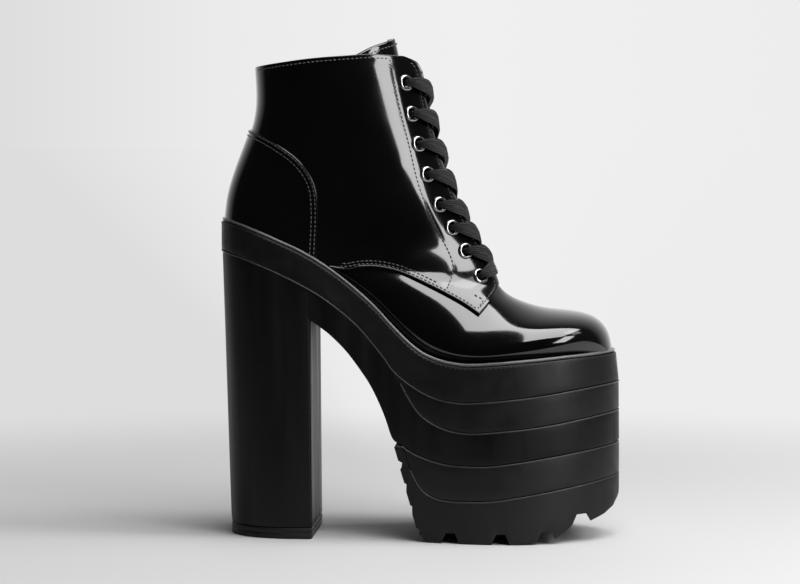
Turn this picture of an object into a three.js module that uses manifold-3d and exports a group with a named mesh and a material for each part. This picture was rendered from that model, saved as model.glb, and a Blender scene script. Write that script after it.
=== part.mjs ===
// A lace-up platform ankle boot with a tall block heel: right foot, millimetres, +Z up, toe towards +X.
// The lateral (outer) side faces -Y. The origin is on the ground, under the middle of the boot.
//
// The upper is one smooth surface: a fan of oval sections, each standing on the line from a point of
// the back-and-bottom profile to a point of the front-and-top profile. Every leather, lining and
// stiffener is a patch of that surface between two offsets from it. The sole is cut from plan outlines
// by side-view outlines.
import * as THREE from 'three';
import Module from 'manifold-3d';

const wasm = await Module();
wasm.setup();

// ---- driving dimensions ----------------------------------------------------------------------
const BOOT_LENGTH = 233.4;          // heel back to toe, along the sole
const SOLE_BACK_X = -0.4;           // where the sole starts, in the boot's side view
const GAP = 0.3;                    // clearance between pieces that touch
const HALF_HEEL_WIDTH = 33;         // heel block at the ground
const TOP_PIECE_HEIGHT = 6.4;       // rubber top piece under the heel
const WELT_HEIGHT = 1.7;            // bead that runs round the upper on top of the sole
const BOARD_THICKNESS = 2.0;        // insole board
const SOCK_THICKNESS = 2.6;         // cushioned sock liner

// Offsets from the upper's surface, outer face then inner face, in the order the layers lie.
const PATCH_LAYER = [1.6, 0.55];    // leather sewn over the heel
const QUARTER_LAYER = [0, -1.2];    // side leathers
const BACKING_LAYER = [-1.9, -2.8]; // heel counter, facing stays, collar foam
const VAMP_LAYER = [-2.15, -3.15];  // vamp, lapped under the quarters
const LINING_LAYER = [-3.6, -4.3];  // quarter linings
const PUFF_LAYER = [-3.8, -4.6];    // toe puff
const VAMP_LINING_LAYER = [-5.3, -6.0];
const TONGUE_LAYERS = [[-8.0, -9.1], [-9.4, -11.2], [-11.5, -12.3]];
const TONGUE_LEAN = 6.5;            // how far the tongue's top leans back from the laces

const TOE_CROWDING = 1.45;          // how much closer the vamp's rows lie near the toe

const EYELET_ROWS = 8;
const EYELET_HOLE_RADIUS = 3.8;
const EYELET_PROFILE = [            // radius, height above the leather's outer face
  [2.7, -5.45], [4.3, -5.45], [4.3, -4.95], [3.05, -4.95], [3.05, 0.7], [4.7, 0.7], [4.1, 1.5], [2.7, 1.4],
];
const LACE_WIDTH = 5.2;
const LACE_THICKNESS = 1.2;
const LACE_WIDTH_IN_HOLE = 3;

const ZIP_TOP = [75, 272];          // side-view ends of the straight zip chain on the medial side
const ZIP_BOTTOM = [68.5, 171];
const ZIP_SLOT_HALF_WIDTH = 4.8;    // from the chain's centre to the leather's edge
const ZIP_TAPE_TOP_Z = 275.8;
const ZIP_TOOTH_PITCH = 5;
const ZIP_TOOTH_HEIGHT = 1.3;
const ZIP_CHAIN_DEPTH = 1.1;        // chain's underside below the surface, at both ends of the chain
const TAPE_LAYER = [-2.3, -2.8];
const SLIDER_BELOW_TOP = 6.2;       // closed slider's base below the top of the chain
const PULL_PIN = [3.4, 4.7];        // pull's pin above the chain and above the slider's base
const PULL_HANG = 2.9;              // degrees that the plumb pull stands off the leaning chain

// ---- profiles --------------------------------------------------------------------------------
// One row per section of the upper: back or bottom point (x, z), front or top point (x, z), half
// width, place of the widest point along the section, and how square the oval is.
const SECTIONS = [
  [18.4, 300, 114.8, 298, 37.4, 0.41, 0.08],
  [19.4, 282, 117.8, 281, 37.2, 0.41, 0.08],
  [20.1, 266, 120.7, 265.5, 36.9, 0.43, 0.10],
  [20.2, 250, 124.1, 248.5, 36.2, 0.455, 0.15],
  [17.0, 234, 128.7, 229.5, 35.2, 0.47, 0.20],
  [10.8, 217, 134.4, 211, 34.3, 0.46, 0.24],
  [5.0, 200, 142.9, 189, 33.2, 0.41, 0.21],
  [2.8, 184, 151.6, 172.3, 32.4, 0.35, 0.15],
  [8.0, 168, 158.3, 159, 32.2, 0.33, 0.10],
  [34, 158, 163.4, 148, 32.8, 0.34, 0.10],
  [72, 138, 169.4, 141.8, 34.4, 0.36, 0.12],
  [105, 108, 178.0, 137.9, 39.4, 0.38, 0.16],
  [135, 97, 189.0, 135.0, 45.0, 0.38, 0.20],
  [160, 97, 202.0, 133.6, 46.6, 0.38, 0.22],
  [180, 97.5, 214.2, 131.4, 43.6, 0.40, 0.22],
  [194, 98, 223.2, 126.4, 37.4, 0.42, 0.20],
  [202, 98.2, 228.9, 117.4, 29.8, 0.44, 0.16],
  [207, 98.4, 231.0, 105, 22.0, 0.46, 0.12],
];
// Half of the sole's plan outline, heel back to toe.
const SOLE_PLAN = [
  [-0.4, 0], [0.9, 9], [4.2, 16.5], [10, 23.6], [20, 30.2], [32, 33.6], [46, 34.8], [62, 35], [78, 35],
  [92, 35.8], [107, 38], [121, 41], [136, 45.2], [150, 48.1], [165, 49.3], [178, 48.6], [190, 46.2],
  [202, 41.8], [213, 35.2], [222, 26.4], [228.5, 16.8], [232, 8], [233, 0],
];
// Side-view lines of the sole, back to front.
const SOLE_TOP_LINE = [
  [-3, 183.4], [4, 182.9], [12.5, 180.7], [24.7, 176.2], [36.7, 171.1], [48.6, 165.7], [60.2, 159],
  [71.8, 150.9],
  [83.4, 141.4], [92.3, 133.2], [101.1, 123.8], [109.9, 115], [118.7, 108.1], [127.5, 104.2], [137, 102],
  [150, 101.3], [182.2, 103.9], [205, 105.9], [237, 107.6],
];
const BAND_LINE = [
  [-3, 167.8], [12.5, 163.7], [24.6, 159.3], [36.7, 154.2], [48.5, 148.5], [60.1, 141.9], [71.7, 133.5],
  [83.4, 123.1], [96.4, 107.7], [102.2, 99.6], [109.9, 92.9], [118.7, 87.3], [127.5, 83.6], [136.3, 81.8],
  [149, 81.4], [182.3, 84.6], [216.7, 89.6], [237, 91.6],
];
const LOWER_WAIST_LINE = [
  [96.4, 107.7], [102.2, 99.6], [106.9, 92.2], [111.6, 83.6], [117.5, 75.1], [124.6, 69.6], [133.4, 65.8],
  [142.1, 64.3], [153.6, 64.2], [188, 67.8], [222.6, 73.4], [237, 74.6],
];
const THIRD_LINE = [
  [108.3, 55.4], [112.8, 52.3], [121.7, 48.6], [133.4, 45.8], [147.9, 45], [165.2, 46], [211, 52.9],
  [237, 56.2],
];
const FOURTH_LINE = [
  [108.6, 54.2], [109.9, 51], [111.7, 45.2], [114.6, 38.4], [118.7, 31.6], [124.6, 27.2], [133.4, 25],
  [147.9, 24.8], [165.2, 26], [211.1, 33.7], [237, 38],
];
const ARCH_LINE = [
  [54.2, 127.4], [60.9, 122.7], [66.8, 118.1], [75.5, 109.4], [83.1, 99.5], [89.5, 89.9], [94.2, 80.6],
  [98.3, 70.9], [101.8, 60.5], [104.6, 57.2],
];
const BREAST_X = [55.7, 54.2];      // heel breast at the ground and under the arch
const HEEL_BACK_X = [5.3, -0.4];    // heel back at the ground and under the band

const radians = THREE.MathUtils.degToRad;
const PSI_PACE = 2;                 // a radian of psi is about as long as this many sections

// ---- splines and the upper's surface ---------------------------------------------------------
// A natural cubic spline through values at 0, 1, 2...
function naturalSpline(values) {
  const last = values.length - 1;
  const bend = new Array(last + 1).fill(0);
  const carry = new Array(last + 1).fill(0);
  for (let i = 1; i < last; i += 1) {
    const pull = 6 * (values[i - 1] - 2 * values[i] + values[i + 1]);
    const pivot = 4 - carry[i - 1];
    carry[i] = 1 / pivot;
    bend[i] = (pull - bend[i - 1]) / pivot;
  }
  for (let i = last - 1; i > 0; i -= 1) bend[i] -= carry[i] * bend[i + 1];
  return (at) => {
    const i = THREE.MathUtils.clamp(Math.floor(at), 0, last - 1);
    const t = at - i;
    const u = 1 - t;
    const cubic = (u ** 3 - u) * bend[i] + (t ** 3 - t) * bend[i + 1];
    return u * values[i] + t * values[i + 1] + cubic / 6;
  };
}

const sectionColumns = SECTIONS[0].map((_, column) => naturalSpline(SECTIONS.map((row) => row[column])));
const LAST_SECTION = SECTIONS.length - 1;

function sectionAt(v) {
  const [backX, backZ, frontX, frontZ, halfWidth, widest, square] = sectionColumns.map((spline) => spline(v));
  return { backX, backZ, frontX, frontZ, halfWidth, square, warp: widest / (1 - widest) };
}

// A point of the surface. psi is 0 along the front and top, 90 degrees at the lateral side, 180 along
// the back and bottom, and negative on the medial side.
function surfacePoint([psi, v]) {
  const s = sectionAt(v);
  const q = (1 + Math.cos(psi)) / 2;
  const along = (s.warp * q) / (s.warp * q + 1 - q);
  const y = -s.halfWidth * Math.sin(psi) * (1 + s.square * Math.cos(psi) ** 2);
  return new THREE.Vector3(s.backX + (s.frontX - s.backX) * along, y, s.backZ + (s.frontZ - s.backZ) * along);
}

function surfaceNormal([psi, v]) {
  const step = 0.004;
  const across = surfacePoint([psi + step, v]).sub(surfacePoint([psi - step, v]));
  const down = surfacePoint([psi, v + step]).sub(surfacePoint([psi, v - step]));
  return across.cross(down).normalize();
}

function offsetPoint(at, offset) {
  return surfacePoint(at).addScaledVector(surfaceNormal(at), offset);
}

function bisect(low, high, test) {
  let [a, b] = [low, high];
  for (let i = 0; i < 40; i += 1) {
    const middle = (a + b) / 2;
    if (test(middle)) a = middle;
    else b = middle;
  }
  return (a + b) / 2;
}

// The surface place of a lateral side-view point (x, z).
function sidePlace(x, z) {
  const ahead = (v) => {
    const s = sectionAt(v);
    return (s.frontX - s.backX) * (z - s.backZ) - (s.frontZ - s.backZ) * (x - s.backX) > 0;
  };
  const v = bisect(LAST_SECTION, 0, ahead);
  const s = sectionAt(v);
  const run = new THREE.Vector2(s.frontX - s.backX, s.frontZ - s.backZ);
  const along = new THREE.Vector2(x - s.backX, z - s.backZ).dot(run) / run.lengthSq();
  const t = THREE.MathUtils.clamp(along, 0, 1);
  const q = t / (s.warp - s.warp * t + t);
  return [Math.acos(THREE.MathUtils.clamp(2 * q - 1, -1, 1)), v];
}

const backPoint = (z) => [sectionAt(bisect(0, 9, (v) => sectionAt(v).backZ > z)).backX, z];
const frontPlace = (z) => [0, bisect(0, LAST_SECTION, (v) => sectionAt(v).frontZ > z)];
const frontPoint = (z) => [sectionAt(frontPlace(z)[1]).frontX, z];

// The place on the front that stands a distance to the lateral side of the centre line.
function besideFront(z, y) {
  const [, v] = frontPlace(z);
  return [Math.sign(y) * bisect(0, Math.PI / 2, (psi) => -surfacePoint([psi, v]).y < Math.abs(y)), v];
}

const mirrored = (places) => places.map(([psi, v]) => [-psi, v]);
const wrapped = (places) => places.map(([psi, v]) => [2 * Math.PI - psi, v]);
const vectors = (points) => points.map(([x, y]) => new THREE.Vector2(x, y));

// Close-set places along a smooth line through side-view points, or through a few places.
function sidePath(points) {
  const curve = new THREE.SplineCurve(vectors(points));
  return curve.getPoints((points.length - 1) * 16).map((point) => sidePlace(point.x, point.y));
}

function placePath(places) {
  const curve = new THREE.SplineCurve(vectors(places));
  return curve.getPoints((places.length - 1) * 8).map((point) => [point.x, point.y]);
}

// Turns close-set places into a line that runs from 0 to 1 at an even pace over the surface.
function trace(places) {
  const marks = [0];
  for (let i = 1; i < places.length; i += 1) {
    const [psi, v] = places[i].map((value, axis) => value - places[i - 1][axis]);
    marks.push(marks[i - 1] + Math.hypot(psi * PSI_PACE, v));
  }
  return (t) => {
    const goal = t * marks.at(-1);
    const i = Math.max(1, marks.findIndex((mark) => mark >= goal - 1e-12));
    const share = (goal - marks[i - 1]) / (marks[i] - marks[i - 1] || 1);
    return places[i].map((value, axis) => places[i - 1][axis] + (value - places[i - 1][axis]) * share);
  };
}

// ---- closed bodies ---------------------------------------------------------------------------
function bodyGeometry(points, triangles) {
  let volume = 0;
  for (const [a, b, c] of triangles) volume += points[a].dot(points[b].clone().cross(points[c]));
  const index = triangles.flatMap(([a, b, c]) => (volume > 0 ? [a, b, c] : [a, c, b]));
  const geometry = new THREE.BufferGeometry();
  geometry.setAttribute('position', new THREE.Float32BufferAttribute(points.flatMap((p) => p.toArray()), 3));
  geometry.setIndex(index);
  return geometry;
}

function toManifold(geometry) {
  const shell = geometry.clone();
  shell.deleteAttribute('normal');
  shell.deleteAttribute('uv');
  const positions = shell.getAttribute('position');
  const seen = new Map();
  const vertices = [];
  const remap = [];
  for (let i = 0; i < positions.count; i += 1) {
    const point = [positions.getX(i), positions.getY(i), positions.getZ(i)];
    const key = point.map((value) => Math.round(value * 1e4)).join();
    if (!seen.has(key)) {
      seen.set(key, vertices.length / 3);
      vertices.push(...point);
    }
    remap.push(seen.get(key));
  }
  const order = shell.index ? Array.from(shell.index.array) : remap.map((_, i) => i);
  const triangles = [];
  for (let i = 0; i < order.length; i += 3) {
    const [a, b, c] = [remap[order[i]], remap[order[i + 1]], remap[order[i + 2]]];
    if (a !== b && b !== c && c !== a) triangles.push(a, b, c);
  }
  const mesh = new wasm.Mesh({
    numProp: 3,
    vertProperties: new Float32Array(vertices),
    triVerts: new Uint32Array(triangles),
  });
  return new wasm.Manifold(mesh);
}

function fromManifold(solid) {
  const mesh = solid.getMesh();
  const geometry = new THREE.BufferGeometry();
  geometry.setAttribute('position', new THREE.BufferAttribute(Float32Array.from(mesh.vertProperties), 3));
  geometry.setIndex(new THREE.BufferAttribute(Uint32Array.from(mesh.triVerts), 1));
  return geometry;
}

// A Coons patch: every side is a line of surface places, and the body lies between two offsets. A
// crowding above 1 brings the rows closer together towards the bottom side.
function patchGeometry({ top, bottom, back, front }, columns, rows, layer, crowding = 1) {
  const offsets = layer.map((offset) => (typeof offset === 'function' ? offset : () => offset));
  const corner = { tb: top(0), tf: top(1), bb: bottom(0), bf: bottom(1) };
  const points = [];
  for (const offset of offsets) {
    for (let j = 0; j <= rows; j += 1) {
      for (let i = 0; i <= columns; i += 1) {
        const u = i / columns;
        const w = 1 - (1 - j / rows) ** crowding;
        const place = [0, 1].map((axis) => {
          const edges = (1 - w) * top(u)[axis] + w * bottom(u)[axis]
            + (1 - u) * back(w)[axis] + u * front(w)[axis];
          const upper = (1 - u) * corner.tb[axis] + u * corner.tf[axis];
          const lower = (1 - u) * corner.bb[axis] + u * corner.bf[axis];
          return edges - (1 - w) * upper - w * lower;
        });
        points.push(offsetPoint(place, offset(place)));
      }
    }
  }
  return bodyGeometry(points, sheetTriangles(columns, rows));
}

// Triangles of two facing grids joined round their rim.
function sheetTriangles(columns, rows) {
  const size = (columns + 1) * (rows + 1);
  const at = (i, j, side) => side * size + j * (columns + 1) + i;
  const triangles = [];
  const quad = (a, b, c, d) => triangles.push([a, b, c], [a, c, d]);
  for (let j = 0; j < rows; j += 1) {
    for (let i = 0; i < columns; i += 1) {
      quad(at(i, j, 0), at(i + 1, j, 0), at(i + 1, j + 1, 0), at(i, j + 1, 0));
      quad(at(i, j, 1), at(i, j + 1, 1), at(i + 1, j + 1, 1), at(i + 1, j, 1));
    }
  }
  for (let i = 0; i < columns; i += 1) {
    quad(at(i, 0, 1), at(i + 1, 0, 1), at(i + 1, 0, 0), at(i, 0, 0));
    quad(at(i, rows, 0), at(i + 1, rows, 0), at(i + 1, rows, 1), at(i, rows, 1));
  }
  for (let j = 0; j < rows; j += 1) {
    quad(at(0, j, 0), at(0, j + 1, 0), at(0, j + 1, 1), at(0, j, 1));
    quad(at(columns, j, 1), at(columns, j + 1, 1), at(columns, j + 1, 0), at(columns, j, 0));
  }
  return triangles;
}

// ---- materials and the scene graph -----------------------------------------------------------
const finish = (color, roughness, metalness = 0) => (
  new THREE.MeshStandardMaterial({ color, roughness, metalness })
);
const MATERIALS = {
  patent: finish(0x0b0b0c, 0.08),
  lining: finish(0x1b1a1a, 0.8),
  foam: finish(0x3a3a38, 0.95),
  board: finish(0x8b7355, 0.9),
  stiffener: finish(0xc9c2b4, 0.85),
  rubber: finish(0x1a1a1b, 0.6),
  heel: finish(0x161617, 0.5),
  steel: finish(0xb9bbbd, 0.3, 1),
  eyelet: finish(0xd8dadc, 0.18, 1),
  lace: finish(0x2b2b2d, 0.85),
  aglet: finish(0x111112, 0.3),
  tape: finish(0x141415, 0.9),
};

const boot = new THREE.Group();
boot.name = 'platform_boot';
boot.position.x = -(SOLE_BACK_X + BOOT_LENGTH / 2);

function add(name, geometry, material, parent = boot) {
  const mesh = new THREE.Mesh(geometry, MATERIALS[material]);
  mesh.name = name;
  parent.add(mesh);
  return mesh;
}

// ---- outlines of the upper -------------------------------------------------------------------
const TOP_BACK_Z = 272.6;
const FEATHER_BACK_Z = 184.9;
const collarLine = [[37, 274.8], [54.4, 277], [71.8, 278.5], [89.2, 279.6]];
const collarFront = [107.7, 278.9];
const facingEdge = [
  [113.6, 276.2], [117.2, 270.5], [118.6, 262], [121.7, 248], [126.4, 229.5], [132.3, 211], [137, 199],
  [141.4, 188.5], [147.2, 178], [152.7, 168], [157.8, 158], [161.6, 149.6], [162.2, 144.4], [157.9, 138],
];
const tabCorner = [152, 131.3];
const heelFeather = [[12, 183.2], [22, 180.3], [36, 174.5], [52, 167]];
const wingRoot = [66, 157.6];
const vampSeam = [[75.2, 156.6], [84, 158], [94, 157.8], [106.6, 154.9], [124, 147.2], [141.4, 138.2]];
const vampFeather = [
  [77.6, 149.1], [92.3, 136.1], [106.9, 120.4], [118.7, 110.6], [130.4, 105.1], [145, 102.9], [165, 103.8],
  [187.9, 105.9], [207, 107.8], [219, 108.6], [226.4, 108.9],
];
const lapLine = [[75, 164], [92, 165.6], [110, 161.3], [128, 153.5], [144, 146.3], [154.6, 144.6]];

const quarterOutline = {
  top: trace(sidePath([backPoint(TOP_BACK_Z), ...collarLine, collarFront])),
  bottom: trace(sidePath([backPoint(FEATHER_BACK_Z), ...heelFeather, wingRoot, ...vampSeam, tabCorner])),
  back: trace([sidePlace(...backPoint(TOP_BACK_Z)), sidePlace(...backPoint(FEATHER_BACK_Z))]),
  front: trace(sidePath([collarFront, ...facingEdge, tabCorner])),
};

// The linings stop short of the vamp, which has a lining of its own.
const liningSeam = [[75.2, 163], [84, 166.5], [94, 167.5], [108, 164], [126, 156.5], [142, 150.5]];
const liningCorner = [150.5, 149.5];
const liningFront = trace(sidePath([collarFront, ...facingEdge.slice(0, -4), liningCorner]));
const liningOutline = {
  top: quarterOutline.top,
  bottom: trace(sidePath([
    backPoint(FEATHER_BACK_Z), ...heelFeather, [64, 160.5], ...liningSeam, liningCorner,
  ])),
  back: quarterOutline.back,
  front: liningFront,
};

// The zip's slot splits the medial quarter. shift moves a side-view line ahead of the chain.
function zipEdge(shift, foot = 158.6 - shift * 0.45, head = 278.4) {
  const [topX, topZ] = ZIP_TOP;
  const [bottomX, bottomZ] = ZIP_BOTTOM;
  const lean = (topX - bottomX) / (topZ - bottomZ);
  const xAt = (z) => topX + (z - topZ) * lean + shift;
  const heights = [head, 262, 240, 218, 196, 178, foot];
  return heights.map((z) => [xAt(z), z]);
}
const zipBackEdge = zipEdge(-ZIP_SLOT_HALF_WIDTH);
const zipFrontEdge = zipEdge(ZIP_SLOT_HALF_WIDTH);

function flipped(outline) {
  const flip = (side) => (t) => {
    const [psi, v] = side(t);
    return [-psi, v];
  };
  return Object.fromEntries(Object.entries(outline).map(([name, side]) => [name, flip(side)]));
}

const medialBackOutline = flipped({
  top: trace(sidePath([backPoint(TOP_BACK_Z), [37, 274.8], [54.4, 277], zipBackEdge[0]])),
  bottom: trace(sidePath([backPoint(FEATHER_BACK_Z), ...heelFeather, zipBackEdge.at(-1)])),
  back: quarterOutline.back,
  front: trace(sidePath(zipBackEdge)),
});
const medialFrontOutline = flipped({
  top: trace(sidePath([zipFrontEdge[0], [89.2, 279.6], [99, 279.8], collarFront])),
  bottom: trace(sidePath([zipFrontEdge.at(-1), ...vampSeam.slice(1), tabCorner])),
  back: trace(sidePath(zipFrontEdge)),
  front: quarterOutline.front,
});

const medialLiningOutline = {
  ...medialFrontOutline,
  ...flipped({
    bottom: trace(sidePath([zipFrontEdge.at(-2), ...liningSeam.slice(1), liningCorner])),
    back: trace(sidePath(zipFrontEdge.slice(0, -1))),
    front: liningFront,
  }),
};

// ---- eyelet places ---------------------------------------------------------------------------
const eyeletPoints = [
  [109.4, 263.3], [112.9, 245.5], [116.8, 228.3], [121.8, 210.8], [128.7, 193.3], [135.8, 179.9],
  [143.6, 166.4],
  [152.1, 151.7],
];
const eyeletPlaces = [1, -1].map((side) => eyeletPoints.map(([x, z]) => {
  const [psi, v] = sidePlace(x, z);
  return [side * psi, v];
}));

function towards(normal) {
  return new THREE.Quaternion().setFromUnitVectors(new THREE.Vector3(0, 1, 0), normal);
}

// Cuts a row of eyelet holes through a leather or lining.
function punched(geometry, side) {
  let solid = toManifold(geometry);
  for (const place of eyeletPlaces[side]) {
    const drill = new THREE.CylinderGeometry(EYELET_HOLE_RADIUS, EYELET_HOLE_RADIUS, 9, 6);
    drill.applyQuaternion(towards(surfaceNormal(place)));
    drill.translate(...offsetPoint(place, -1.9).toArray());
    solid = solid.subtract(toManifold(drill));
  }
  return fromManifold(solid);
}

// ---- leathers --------------------------------------------------------------------------------
function buildLeathers() {
  add('quarter_lateral', punched(patchGeometry(quarterOutline, 17, 12, QUARTER_LAYER), 0), 'patent');
  const medialFront = patchGeometry(medialFrontOutline, 11, 12, QUARTER_LAYER);
  add('quarter_medial_front', punched(medialFront, 1), 'patent');
  add('quarter_medial_back', patchGeometry(medialBackOutline, 10, 9, QUARTER_LAYER), 'patent');
  add('vamp', patchGeometry(vampOutline(), 28, 9, VAMP_LAYER, TOE_CROWDING), 'patent');
  add('heel_patch', patchGeometry(heelPatchOutline(), 16, 9, PATCH_LAYER), 'patent');
}

// The vamp runs as a horseshoe from its lateral wing round the toe to its medial wing.
function vampOutline() {
  const rear = sidePath([[66, 163.4], ...lapLine, frontPoint(151.5)]);
  const feather = sidePath([[66, 158.2], ...vampFeather, frontPoint(109)]);
  return {
    top: trace([...rear, ...mirrored(rear).reverse().slice(1)]),
    bottom: trace([...feather, ...mirrored(feather).reverse().slice(1)]),
    back: trace([rear[0], feather[0]]),
    front: trace(mirrored([rear[0], feather[0]])),
  };
}

// The heel patch wraps the back. Its upper edge sweeps from the back seam down to the feather line.
function heelPatchOutline() {
  const side = sidePath([[59.2, 191], [59, 180], [58, 165.8]]);
  const ridge = sidePath([
    [59.2, 191], [58.2, 202.5], [54.4, 211.4], [47.3, 220], [36.6, 227.6], [27, 232.8], backPoint(236.5),
  ]);
  const foot = sidePath([
    [58, 165.8], [44, 172.2], [31, 178], [18, 182.9], [9, 185.1], backPoint(FEATHER_BACK_Z + 1),
  ]);
  return {
    top: trace([...ridge, ...wrapped(ridge).reverse().slice(1)]),
    bottom: trace([...foot, ...wrapped(foot).reverse().slice(1)]),
    back: trace(side),
    front: trace(wrapped(side)),
  };
}

// ---- linings, stiffeners and padding ---------------------------------------------------------
function buildLinings() {
  add('quarter_lining_lateral', punched(patchGeometry(liningOutline, 14, 10, LINING_LAYER), 0), 'lining');
  const medialFront = patchGeometry(medialLiningOutline, 8, 10, LINING_LAYER);
  add('quarter_lining_medial_front', punched(medialFront, 1), 'lining');
  add('quarter_lining_medial_back', patchGeometry(medialBackOutline, 10, 9, LINING_LAYER), 'lining');
  add('vamp_lining', patchGeometry(vampOutline(), 24, 6, VAMP_LINING_LAYER, TOE_CROWDING), 'lining');
}

function facingStayOutline() {
  const stitchLine = [
    [103.4, 272.5], [105.4, 254.6], [109, 240.1], [113, 225.6], [117.6, 211.1], [122.9, 198.3],
    [128.2, 186.7],
    [133.4, 175.1], [138, 164], [143.5, 153.5],
  ];
  const head = [[103.4, 272.5], [116.2, 271]];
  const foot = [[143.5, 153.5], [151, 149.2], [158.6, 150.8]];
  return {
    top: trace(sidePath(head)),
    bottom: trace(sidePath(foot)),
    back: trace(sidePath(stitchLine)),
    front: trace(sidePath([head[1], ...facingEdge.slice(2, -3).map(([x, z]) => [x - 0.3, z]), foot[2]])),
  };
}

function collarFoamOutline(frontX, frontZ) {
  const top = sidePath([backPoint(270.6), [37, 272.6], [frontX, frontZ]]);
  const bottom = sidePath([backPoint(252), [37, 253], [frontX, frontZ - 20]]);
  return {
    top: trace(top),
    bottom: trace(bottom),
    back: trace([top[0], bottom[0]]),
    front: trace([top.at(-1), bottom.at(-1)]),
  };
}

function buildStiffeners() {
  const stay = facingStayOutline();
  add('facing_stay_lateral', punched(patchGeometry(stay, 3, 12, BACKING_LAYER), 0), 'stiffener');
  add('facing_stay_medial', punched(patchGeometry(flipped(stay), 3, 12, BACKING_LAYER), 1), 'stiffener');
  add('collar_foam_lateral', patchGeometry(collarFoamOutline(84, 276.4), 16, 2, BACKING_LAYER), 'foam');
  const medialOutline = flipped(collarFoamOutline(59, 274.8));
  add('collar_foam_medial', patchGeometry(medialOutline, 12, 2, BACKING_LAYER), 'foam');
  const counterTop = sidePath([[55.5, 190], [49, 206], [38, 216], [26, 220.6], backPoint(222)]);
  const counterFoot = sidePath([[55.5, 167.5], [40, 174.6], [20, 182.6], backPoint(186.4)]);
  const counter = {
    top: trace([...counterTop, ...wrapped(counterTop).reverse().slice(1)]),
    bottom: trace([...counterFoot, ...wrapped(counterFoot).reverse().slice(1)]),
    back: trace([counterTop[0], counterFoot[0]]),
    front: trace(wrapped([counterTop[0], counterFoot[0]])),
  };
  add('heel_counter', patchGeometry(counter, 14, 6, BACKING_LAYER), 'stiffener');
  const puffRear = sidePath([[199, 111.4], [194, 119], [191, 127], frontPoint(132.4)]);
  const puffFoot = sidePath([[204, 110.4], [215, 110.8], [222, 111.2], frontPoint(111.8)]);
  const puff = {
    top: trace([...puffRear, ...mirrored(puffRear).reverse().slice(1)]),
    bottom: trace([...puffFoot, ...mirrored(puffFoot).reverse().slice(1)]),
    back: trace([puffRear[0], puffFoot[0]]),
    front: trace(mirrored([puffRear[0], puffFoot[0]])),
  };
  add('toe_puff', patchGeometry(puff, 16, 6, PUFF_LAYER), 'stiffener');
}

// ---- tongue ----------------------------------------------------------------------------------
function buildTongue() {
  const side = placePath([
    besideFront(282.4, 33), besideFront(262, 30), besideFront(235, 25.5), besideFront(205, 21),
    besideFront(178, 18), besideFront(154.5, 14),
  ]);
  const shoulder = placePath([
    side[0], besideFront(286.4, 27.5), besideFront(289, 19.5), besideFront(290.8, 9.5), frontPlace(292.3),
  ]);
  const foot = placePath([side.at(-1), besideFront(153.5, 7), frontPlace(153.2)]);
  const outline = {
    top: trace([...shoulder, ...mirrored(shoulder).reverse().slice(1)]),
    bottom: trace([...foot, ...mirrored(foot).reverse().slice(1)]),
    back: trace(side),
    front: trace(mirrored(side)),
  };
  const lean = ([, v]) => TONGUE_LEAN * THREE.MathUtils.smoothstep(3.2 - v, 0, 2.4);
  const names = ['tongue_cover', 'tongue_foam', 'tongue_lining'];
  const slots = ['patent', 'foam', 'lining'];
  TONGUE_LAYERS.forEach(([outer, inner], i) => {
    const layer = [(place) => outer - lean(place), (place) => inner - lean(place)];
    add(names[i], patchGeometry(outline, 8, 9, layer), slots[i]);
  });
}

// ---- eyelets and lace ------------------------------------------------------------------------
function buildEyelets() {
  const profile = [...EYELET_PROFILE, EYELET_PROFILE[0]].map(([r, z]) => new THREE.Vector2(r, z));
  ['lateral', 'medial'].forEach((sideName, side) => {
    eyeletPlaces[side].forEach((place, row) => {
      const geometry = new THREE.LatheGeometry(profile, 8);
      const eyelet = add(`eyelet_${sideName}_${row + 1}`, geometry, 'eyelet');
      eyelet.quaternion.copy(towards(surfaceNormal(place)));
      eyelet.position.copy(surfacePoint(place));
    });
  });
}

// The lace crosses outside at the bottom, goes in through the lowest eyelets, then rises: under its own
// facing, across the middle, over the other facing and in through the next eyelet.
function laceRoute() {
  const between = (a, b, t) => [a[0] + (b[0] - a[0]) * t, a[1] + (b[1] - a[1]) * t];
  const strand = (startSide) => {
    const route = [];
    let side = startSide;
    for (let row = EYELET_ROWS - 1; row >= 0; row -= 1) {
      const hole = eyeletPlaces[side][row];
      for (const depth of [2.9, 0.9, -5.4]) route.push([hole, depth, LACE_WIDTH_IN_HOLE]);
      const opposite = eyeletPlaces[1 - side];
      const next = row > 0 ? opposite[row - 1] : [opposite[0][0], eyeletPlaces[0][0][1] - 0.35];
      const over = startSide === 0 ? 0.8 : -0.8;
      const crossing = [
        [0.08, -6.4], [0.3, -6.4], [0.4, -4.2 + over * 0.8], [0.5, -1.7 + over], [0.6, 0.9 + over * 0.5],
        [0.71, 2.9], [0.92, 3.5],
      ];
      if (row > 0) {
        crossing.forEach(([t, depth], i) => {
          route.push([between(hole, next, t), depth, i > 0 ? LACE_WIDTH : 2.8]);
        });
      } else {
        const tail = between(hole, [hole[0] * 1.85, hole[1] + 0.25], 1);
        for (const t of [0.12, 0.4, 0.7]) route.push([between(hole, tail, t), -6.8, LACE_WIDTH]);
      }
      side = 1 - side;
    }
    return route;
  };
  const bar = [0.08, 0.26, 0.5, 0.74, 0.92].map((t) => {
    const place = between(eyeletPlaces[0][EYELET_ROWS - 1], eyeletPlaces[1][EYELET_ROWS - 1], t);
    return [place, t === 0.08 || t === 0.92 ? 3.2 : 2.4, LACE_WIDTH];
  });
  return [...strand(0).reverse(), ...bar, ...strand(1)];
}

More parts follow.
